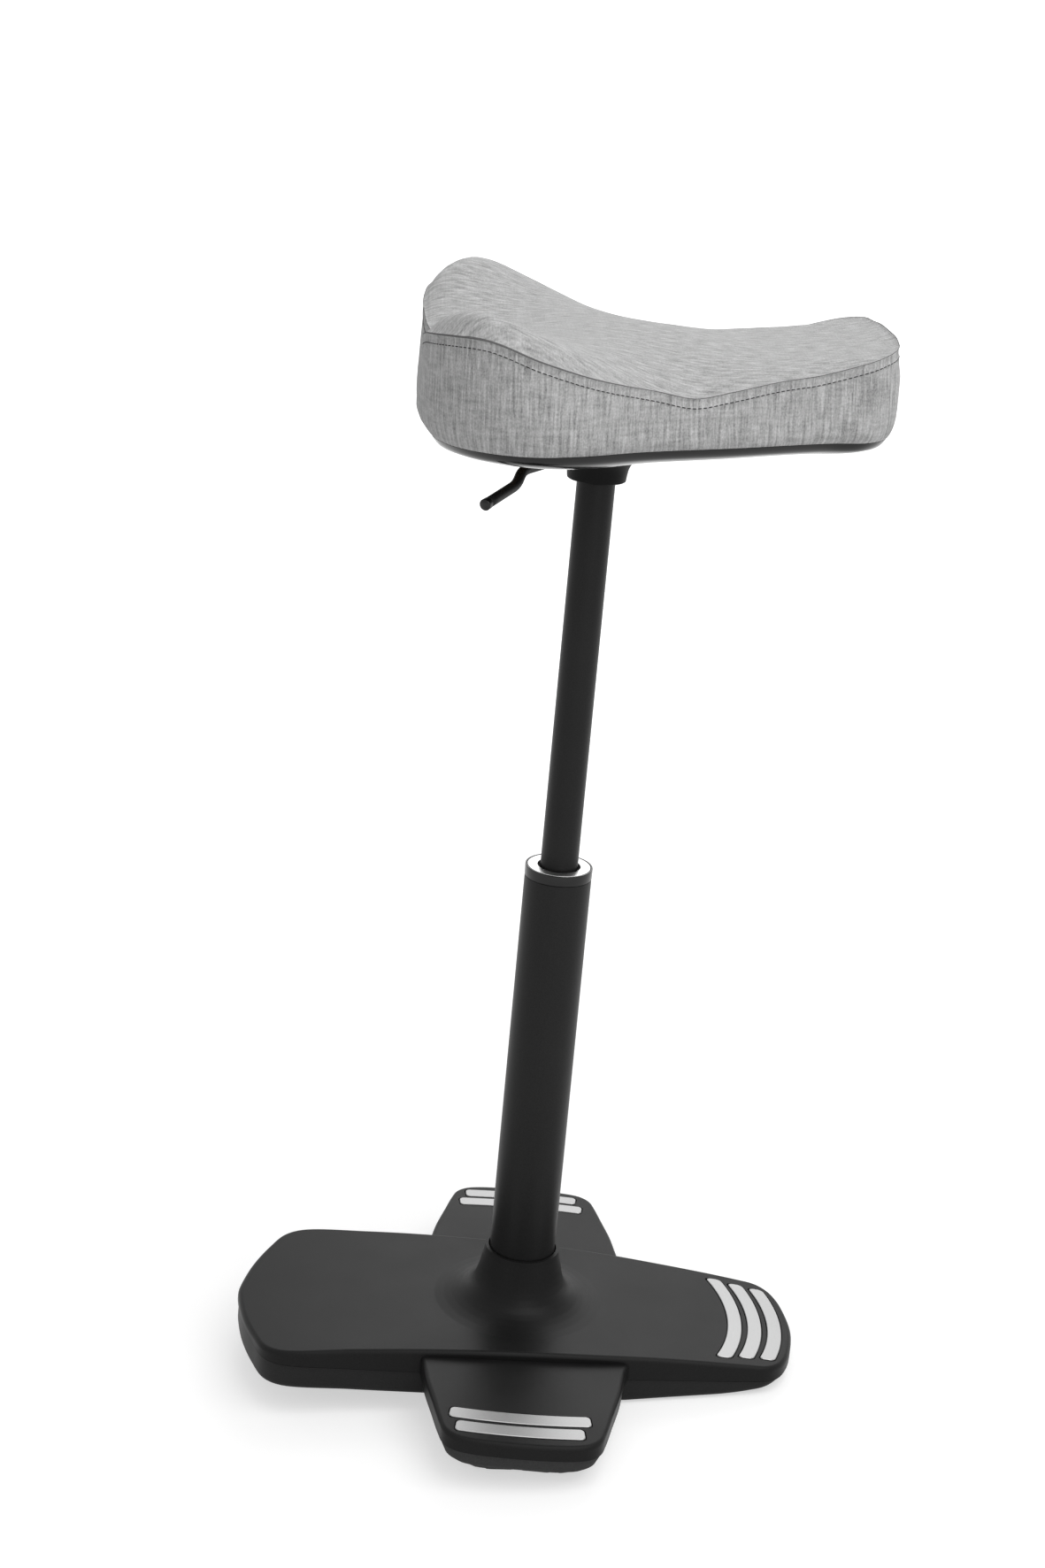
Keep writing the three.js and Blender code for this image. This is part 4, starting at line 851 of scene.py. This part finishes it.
def build_pan():
    """Dished pan with a raised tub over the hub and a channel for the lever."""
    rim = PAN_RIM - CLEARANCE
    table = [(a * PAN_DISH, b) for a, b in PAN_SHARES]

    def rings(grow, top, steps):
        made = [seat_ring(grow, top)]
        for inward in steps:
            down = float(curve(table, np.array(inward)))
            made.append(seat_ring(grow + inward, rim - down * PAN_DEPTH + grow))
        return made[::-1]

    def tub(wall, low):
        return rounded_box(HUB_X - TUB_HALF_LENGTH - wall, HUB_X + TUB_HALF_LENGTH + wall,
                           TUB_HALF_WIDTH + wall, TUB_CORNER + wall, low, RECESS_TOP + wall)

    floor = PAN_RIM - PAN_DEPTH
    pan = cutter(lofted(rings(0, rim, PAN_STEPS)), False)
    hollow = rings(PAN_WALL, PAN_RIM + CUT_MARGIN, PAN_STEPS[PAN_INNER_STEP:])
    combine(pan, cutter(lofted(hollow), False), "DIFFERENCE")
    combine(pan, cutter(tub(PAN_WALL, floor), False), "UNION")
    combine(pan, cutter(tub(0, floor - CUT_MARGIN), False), "DIFFERENCE")
    channel = cutter(lever_room(PAN_CHANNEL, floor - CUT_MARGIN, RECESS_TOP), False)
    channel.data.transform(Matrix.Translation(SEAT_PIVOT) @ Matrix.Rotation(-SEAT_YAW, 4, "Z")
                           @ Matrix.Translation(-SEAT_PIVOT))
    combine(pan, channel, "DIFFERENCE")
    pan.data.transform(SEAT_POSE)
    pan.name = "pan"
    finish(pan, "lift", gloss, ["seat_pan"], 30)


def build_hub():
    """Turned about the column's axis, cut to the seat on top, with a slot for the lever."""
    heights = np.linspace(0, FLARE_HEIGHT, FLARE_STEPS)
    flare = [(float(curve(FLARE, np.array(h))), HUB_BOTTOM + h) for h in heights]
    flare[0] = (flare[0][0] - HUB_EDGE, HUB_BOTTOM)
    flare.insert(1, (HUB_EDGE_RADIUS, HUB_BOTTOM + HUB_EDGE_RISE))
    top = HUB_TOP + HUB_SPARE
    hub = cutter(turned([(HUB_BORE, HUB_BOTTOM), *flare, (FLARE[-1][1], top), (HUB_BORE, top)]))
    above = cutter(block(*HUB_CUT), False)
    above.data.transform(SEAT_POSE)
    combine(hub, above, "DIFFERENCE")
    slot = lever_room(HUB_SLOT, VALVE.z - HUB_SLOT_DROP, HUB_TOP + CUT_MARGIN)
    combine(hub, cutter(slot, False), "DIFFERENCE")
    hub.name = "hub"
    finish(hub, "lift", hub_paint, ["seat_hub"], 40)


def swept(path, radius):
    """A round bar along a path, with a softly rounded face at both ends."""
    last = len(path) - 1
    edge = radius * SOFT_EDGE
    stations = [(0, radius - edge), *((i, radius) for i in range(last + 1)), (last, radius - edge)]
    angles = np.arange(LEVER_SIDES) / LEVER_SIDES * 2 * math.pi
    verts = []
    for i, r in stations:
        way = (path[min(i + 1, last)] - path[max(i - 1, 0)]).normalized()
        out = way.cross(Vector((0, 0, 1))).normalized()
        up = out.cross(way).normalized()
        place = path[i]
        if r == radius and i in (0, last):
            place = place + way * edge if i == 0 else place - way * edge
        verts += [tuple(place + (out * math.cos(a) + up * math.sin(a)) * r) for a in angles]
    end = (len(stations) - 1) * LEVER_SIDES
    faces = [list(range(LEVER_SIDES))[::-1], list(range(end, end + LEVER_SIDES))]
    return np.array(verts), faces + band_faces(LEVER_SIDES, len(stations) - 1)


def build_lever():
    """The lever's rod, straight out of the hub and bent twice, and the cap on its end."""
    start = VALVE - WAY * LEVER_START
    first = RUN - (RUN - start).normalized() * LEVER_BEND_REACH
    second = RUN.lerp(BEND, 0.4)
    into, out_of = RUN.lerp(BEND, 0.64), BEND.lerp(END, 0.18)
    path = [start.lerp(RUN, t) for t in np.linspace(0, 0.92, 8)]
    path += [bent(first, RUN, second, t) for t in np.linspace(0.2, 1, 6)]
    path += [bent(into, BEND, out_of, t) for t in np.linspace(0, 1, 12)]
    path += [out_of.lerp(END, t) for t in (0.25, 0.5, 0.75, 1)]
    rod = mesh_object("lever", swept(path, LEVER_RADIUS), False)
    finish(rod, "lever", collar_paint, ["lever_rod"], 50)
    way = (END - BEND).normalized()
    path = [END + way * step for step in LEVER_CAP_STEPS]
    cap = mesh_object("lever_cap", swept(path, LEVER_CAP_RADIUS), False)
    finish(cap, "lever", gloss, ["lever_tip"], 50)


build_pan()
build_hub()
build_lever()


# Cushion
def surface(x, y):
    """Height of the top panel over the rim, before the roll at its edge."""
    middle, edge = curve(MIDDLE, seat_share(x)) * LOBE, curve(EDGE, seat_share(x)) * LOBE
    across = np.minimum(np.abs(y) / half_width(x), 1)
    return middle + (edge - middle) * across ** 2


def seam_height(x, y):
    """Height of the seam over the rim, lower in the middle of the rear end."""
    side = curve(SEAM_RISE, seat_share(x)) * LOBE
    rear = smoothstep(seat_share(x), 0, REAR_SEAM_LENGTH)
    across = smoothstep(np.abs(y), 0, REAR_SEAM_WIDTH * SEAT_HALF_WIDTH)
    low = REAR_SEAM * LOBE
    return (low + (side - low) * across) * (1 - rear) + side * rear


def dent(points):
    """How far the seam is drawn in at the middle of the rear end."""
    across = np.maximum(1 - np.abs(points[:, 1]) / (DENT_WIDTH * SEAT_HALF_WIDTH), 0)
    return np.where(points[:, 0] < SEAT_MIDDLE, DENT * across ** DENT_POWER, 0)


def cushion_rings():
    """Rings up the side band to the seam, then over the top panel to its middle."""
    x, y = SEAT_LOOP.T
    rise = seam_height(x, y)
    bulge = REAR_BULGE + (FRONT_BULGE - REAR_BULGE) * seat_share(x)
    shares = [mark * (1 - BAND_DROP / rise) for mark in BAND_MARKS]
    shares += [1 - drop / rise for drop in SEAM_DROPS]
    made = []
    for share in shares:
        flat = inset(SEAT_LOOP, SEAT_SPINE, -(curve(BULGES, share) * bulge)[:, None])
        flat[:, 0] += share * dent(flat)
        made.append(ring(flat, PAN_RIM + share * rise))
    seam = made[-1]
    foot = np.clip(seam[:, 0], *SEAT_SPINE)
    drop = surface(seam[:, 0], seam[:, 1]) - (seam[:, 2] - PAN_RIM)
    drawn = dent(seam)
    for part in TOP_PARTS:
        px = (seam[:, 0] - drawn) * (1 - part) + foot * part + drawn * (1 - part) ** DENT_FADE
        py = seam[:, 1] * (1 - part)
        z = PAN_RIM + surface(px, py) - drop * (1 - part) ** ROLL_POWER
        made.append(np.column_stack([px, py, z]))
    return made


def simulate(made):
    """Inflates a remeshed copy as cloth, then moves the piece's points the way the copy went."""
    scene = bpy.context.scene
    copy = made.copy()
    copy.data = made.data.copy()
    scene.collection.objects.link(copy)
    remesh = copy.modifiers.new("remesh", "REMESH")
    remesh.mode, remesh.voxel_size = "VOXEL", VOXEL * MM
    graph = bpy.context.evaluated_depsgraph_get()
    copy.data = bpy.data.meshes.new_from_object(copy.evaluated_get(graph))
    copy.modifiers.clear()
    rest = np.array([v.co for v in copy.data.vertices])
    held = copy.vertex_groups.new(name="held")
    low = (PAN_RIM + HELD_RISE) * MM
    held.add([i for i, p in enumerate(rest) if p[2] < low], 1.0, "REPLACE")
    cloth = copy.modifiers.new("cloth", "CLOTH")
    cloth.settings.use_pressure = True
    cloth.settings.uniform_pressure_force = CLOTH_PRESSURE
    cloth.settings.vertex_group_mass = "held"
    cloth.settings.tension_stiffness = cloth.settings.compression_stiffness = CLOTH_STIFFNESS
    cloth.settings.effector_weights.gravity = 0
    cloth.settings.quality = CLOTH_QUALITY
    cloth.point_cache.frame_start, cloth.point_cache.frame_end = 1, CLOTH_FRAMES
    scene.frame_start, scene.frame_end = 1, CLOTH_FRAMES
    for number in range(1, CLOTH_FRAMES + 1):
        scene.frame_set(number)
    graph = bpy.context.evaluated_depsgraph_get()
    move = np.array([v.co for v in copy.evaluated_get(graph).data.vertices]) - rest
    size = np.linalg.norm(move, axis=1)[:, None]
    move *= np.minimum(1, MOVE_CAP * MM / np.maximum(size, TINY))
    tree = KDTree(len(rest))
    for i, p in enumerate(rest):
        tree.insert(p, i)
    tree.balance()
    for vertex in made.data.vertices:
        near = tree.find_n(vertex.co, NEAR_POINTS)
        weight = np.array([1 / (distance + NEAR_SOFTNESS * MM) for _, _, distance in near])
        vertex.co += Vector(weight @ move[[i for _, i, _ in near]] / weight.sum())
    scene.frame_set(1)
    bpy.data.objects.remove(copy)


def build_cushion():
    """Makes the cushion, and gives its row of stitches with the way out of the fabric there."""
    rings = cushion_rings()
    count = len(rings[0])
    made = mesh_object("cushion", lofted(rings), False)
    simulate(made)
    mesh = made.data
    mesh.update()
    seam_row = len(BAND_MARKS) + len(SEAM_DROPS) - 1
    stitch_row = len(BAND_MARKS) + SEAM_DROPS.index(STITCH_DROP)
    co = np.array([v.co for v in mesh.vertices])
    rows = co.reshape(len(rings), count, 3)
    normals = np.array([v.normal for v in mesh.vertices]).reshape(rows.shape)
    seam_normal = normals[seam_row - SEAM_NORMAL_ROWS] + normals[seam_row + SEAM_NORMAL_ROWS]
    seam_normal /= np.linalg.norm(seam_normal, axis=1)[:, None]
    for step, depth in SEAM_GROOVE.items():
        rows[seam_row + step] -= seam_normal * depth * MM
    for step, depth in STITCH_GROOVE.items():
        rows[stitch_row + step] -= normals[stitch_row + step] * depth * MM
    mesh.vertices.foreach_set("co", co.astype(np.float32).ravel())
    mesh.update()

    layer = mesh.uv_layers.new(name="panel")
    around = lengths_along(rows[0])
    total = around[-1] + np.linalg.norm(rows[0][0] - rows[0][-1])
    for material in (side_fabric, top_fabric, seam_painted_shade):
        mesh.materials.append(material)
    for face in mesh.polygons:
        face.use_smooth = True
        band = face.index < seam_row * count
        # The rows either side of the seam take the painted seam shade, material 2.
        in_painted_seam_shade = (seam_row - 1) * count <= face.index < (seam_row + 1) * count
        face.material_index = 2 if in_painted_seam_shade else 0 if band else 1
        closing = face.index % count == count - 1
        for loop in face.loop_indices:
            v = mesh.loops[loop].vertex_index
            i = v % count
            u = total if i == 0 and closing else around[i]
            layer.data[loop].uv = (u, co[v][2]) if band else (co[v][0], co[v][1])
    mesh.transform(SEAT_POSE)
    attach(made, "lift")
    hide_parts("seat_cushion")
    return rows[stitch_row], normals[stitch_row]


def build_stitches(path, normals):
    """A row of short stitches along a closed path on the cushion."""
    length, radius = STITCH_LENGTH * MM, STITCH_RADIUS * MM
    closed, outward = np.vstack([path, path[:1]]), np.vstack([normals, normals[:1]])
    along = lengths_along(closed)
    count = int(along[-1] / (STITCH_PITCH * MM))
    angles = np.arange(STITCH_SIDES) / STITCH_SIDES * 2 * math.pi

    def at(rows, distance):
        return np.array([np.interp(distance, along, rows[:, axis]) for axis in range(3)])

    verts, faces = [], []
    for k in range(count):
        middle = (k + 0.5) * along[-1] / count
        start, end = (at(closed, middle + s * length) for s in (-0.5, 0.5))
        up = at(outward, middle)
        up /= np.linalg.norm(up)
        way = (end - start) / np.linalg.norm(end - start)
        side = np.cross(way, up)
        base = len(verts)
        for s, wide, lift in STITCH_SHAPE:
            place = (start + end) / 2 + way * s * length + up * lift * radius
            verts += [place + (side * math.cos(a) + up * math.sin(a)) * radius * wide
                      for a in angles]
        faces += band_faces(STITCH_SIDES, len(STITCH_SHAPE) - 1, base)
        faces.append(list(range(base + STITCH_SIDES - 1, base - 1, -1)))
        faces.append(list(range(len(verts) - STITCH_SIDES, len(verts))))
    made = mesh_object("stitching", (np.array(verts) / MM, faces), False)
    made.data.transform(SEAT_POSE)
    finish(made, "lift", thread, (), 60)


build_stitches(*build_cushion())


# Stage
def seen_or_lighting(tree, lighting, seen):
    """One shader for rays from the camera and in gloss or glass, and another for the light."""
    path = tree.node("ShaderNodeLightPath").outputs
    total = path["Is Camera Ray"]
    for output in ("Is Glossy Ray", "Is Transmission Ray"):
        total = tree.math("MAXIMUM", total, path[output])
    return tree.node("ShaderNodeMixShader", _0=total, _1=lighting, _2=seen).outputs[0]


def build_floor():
    corners = [(-1, -1, 0), (1, -1, 0), (1, 1, 0), (-1, 1, 0)]
    floor = mesh_object("floor", (np.array(corners) * FLOOR_HALF / MM, [[0, 1, 2, 3]]), False)
    floor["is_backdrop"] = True
    material = bpy.data.materials.new("floor")
    tree = Tree(material)
    tree.nodes.clear()
    lit, seen = (tree.node("ShaderNodeBsdfDiffuse", Color=(grey, grey, grey, 1)).outputs[0]
                 for grey in (FLOOR_LIT, FLOOR_SEEN))
    far = tree.node("ShaderNodeVectorMath", _0=tree.node("ShaderNodeTexCoord").outputs["Object"])
    far.operation = "LENGTH"
    strength = tree.node("ShaderNodeMapRange", Value=far.outputs["Value"], From_Min=GLOW_NEAR,
                         From_Max=GLOW_FAR, To_Min=GLOW_LOW, To_Max=GLOW_HIGH).outputs[0]
    glow = tree.node("ShaderNodeEmission", Strength=strength).outputs[0]
    glowing = tree.node("ShaderNodeAddShader", _0=seen, _1=glow).outputs[0]
    tree.node("ShaderNodeOutputMaterial", Surface=seen_or_lighting(tree, lit, glowing))
    floor.data.materials.append(material)


def build_world():
    world = bpy.data.worlds.new("studio")
    bpy.context.scene.world = world
    tree = Tree(world)
    tree.nodes.clear()
    lit = tree.node("ShaderNodeBackground", Color=(1, 1, 1, 1), Strength=WORLD_STRENGTH)
    white = tree.node("ShaderNodeBackground", Color=(1, 1, 1, 1))
    surface_shader = seen_or_lighting(tree, lit.outputs[0], white.outputs[0])
    tree.node("ShaderNodeOutputWorld", Surface=surface_shader)


def build_lamps():
    for place, aim, size, power in LAMPS:
        lamp = bpy.data.lights.new("lamp", "AREA")
        lamp.shape, lamp.size, lamp.energy = "SQUARE", size, power
        made = bpy.data.objects.new("lamp", lamp)
        made.location = place
        made.rotation_euler = (Vector(aim) - Vector(place)).to_track_quat("-Z", "Y").to_euler()
        bpy.context.scene.collection.objects.link(made)


def build_camera():
    view = bpy.data.cameras.new("camera")
    view.lens, view.sensor_width, view.shift_x, view.shift_y = LENS, SENSOR, 0.0, SHIFT_UP
    camera = bpy.data.objects.new("camera", view)
    camera.location = CAMERA_PLACE
    camera.rotation_euler = (CAMERA_TILT, 0, 0)
    bpy.context.scene.collection.objects.link(camera)
    bpy.context.scene.camera = camera


build_floor()
build_world()
build_lamps()
build_camera()
bpy.context.scene.view_settings.view_transform = "Standard"

[[list(p) for p in box] for box in (cad_box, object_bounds())]
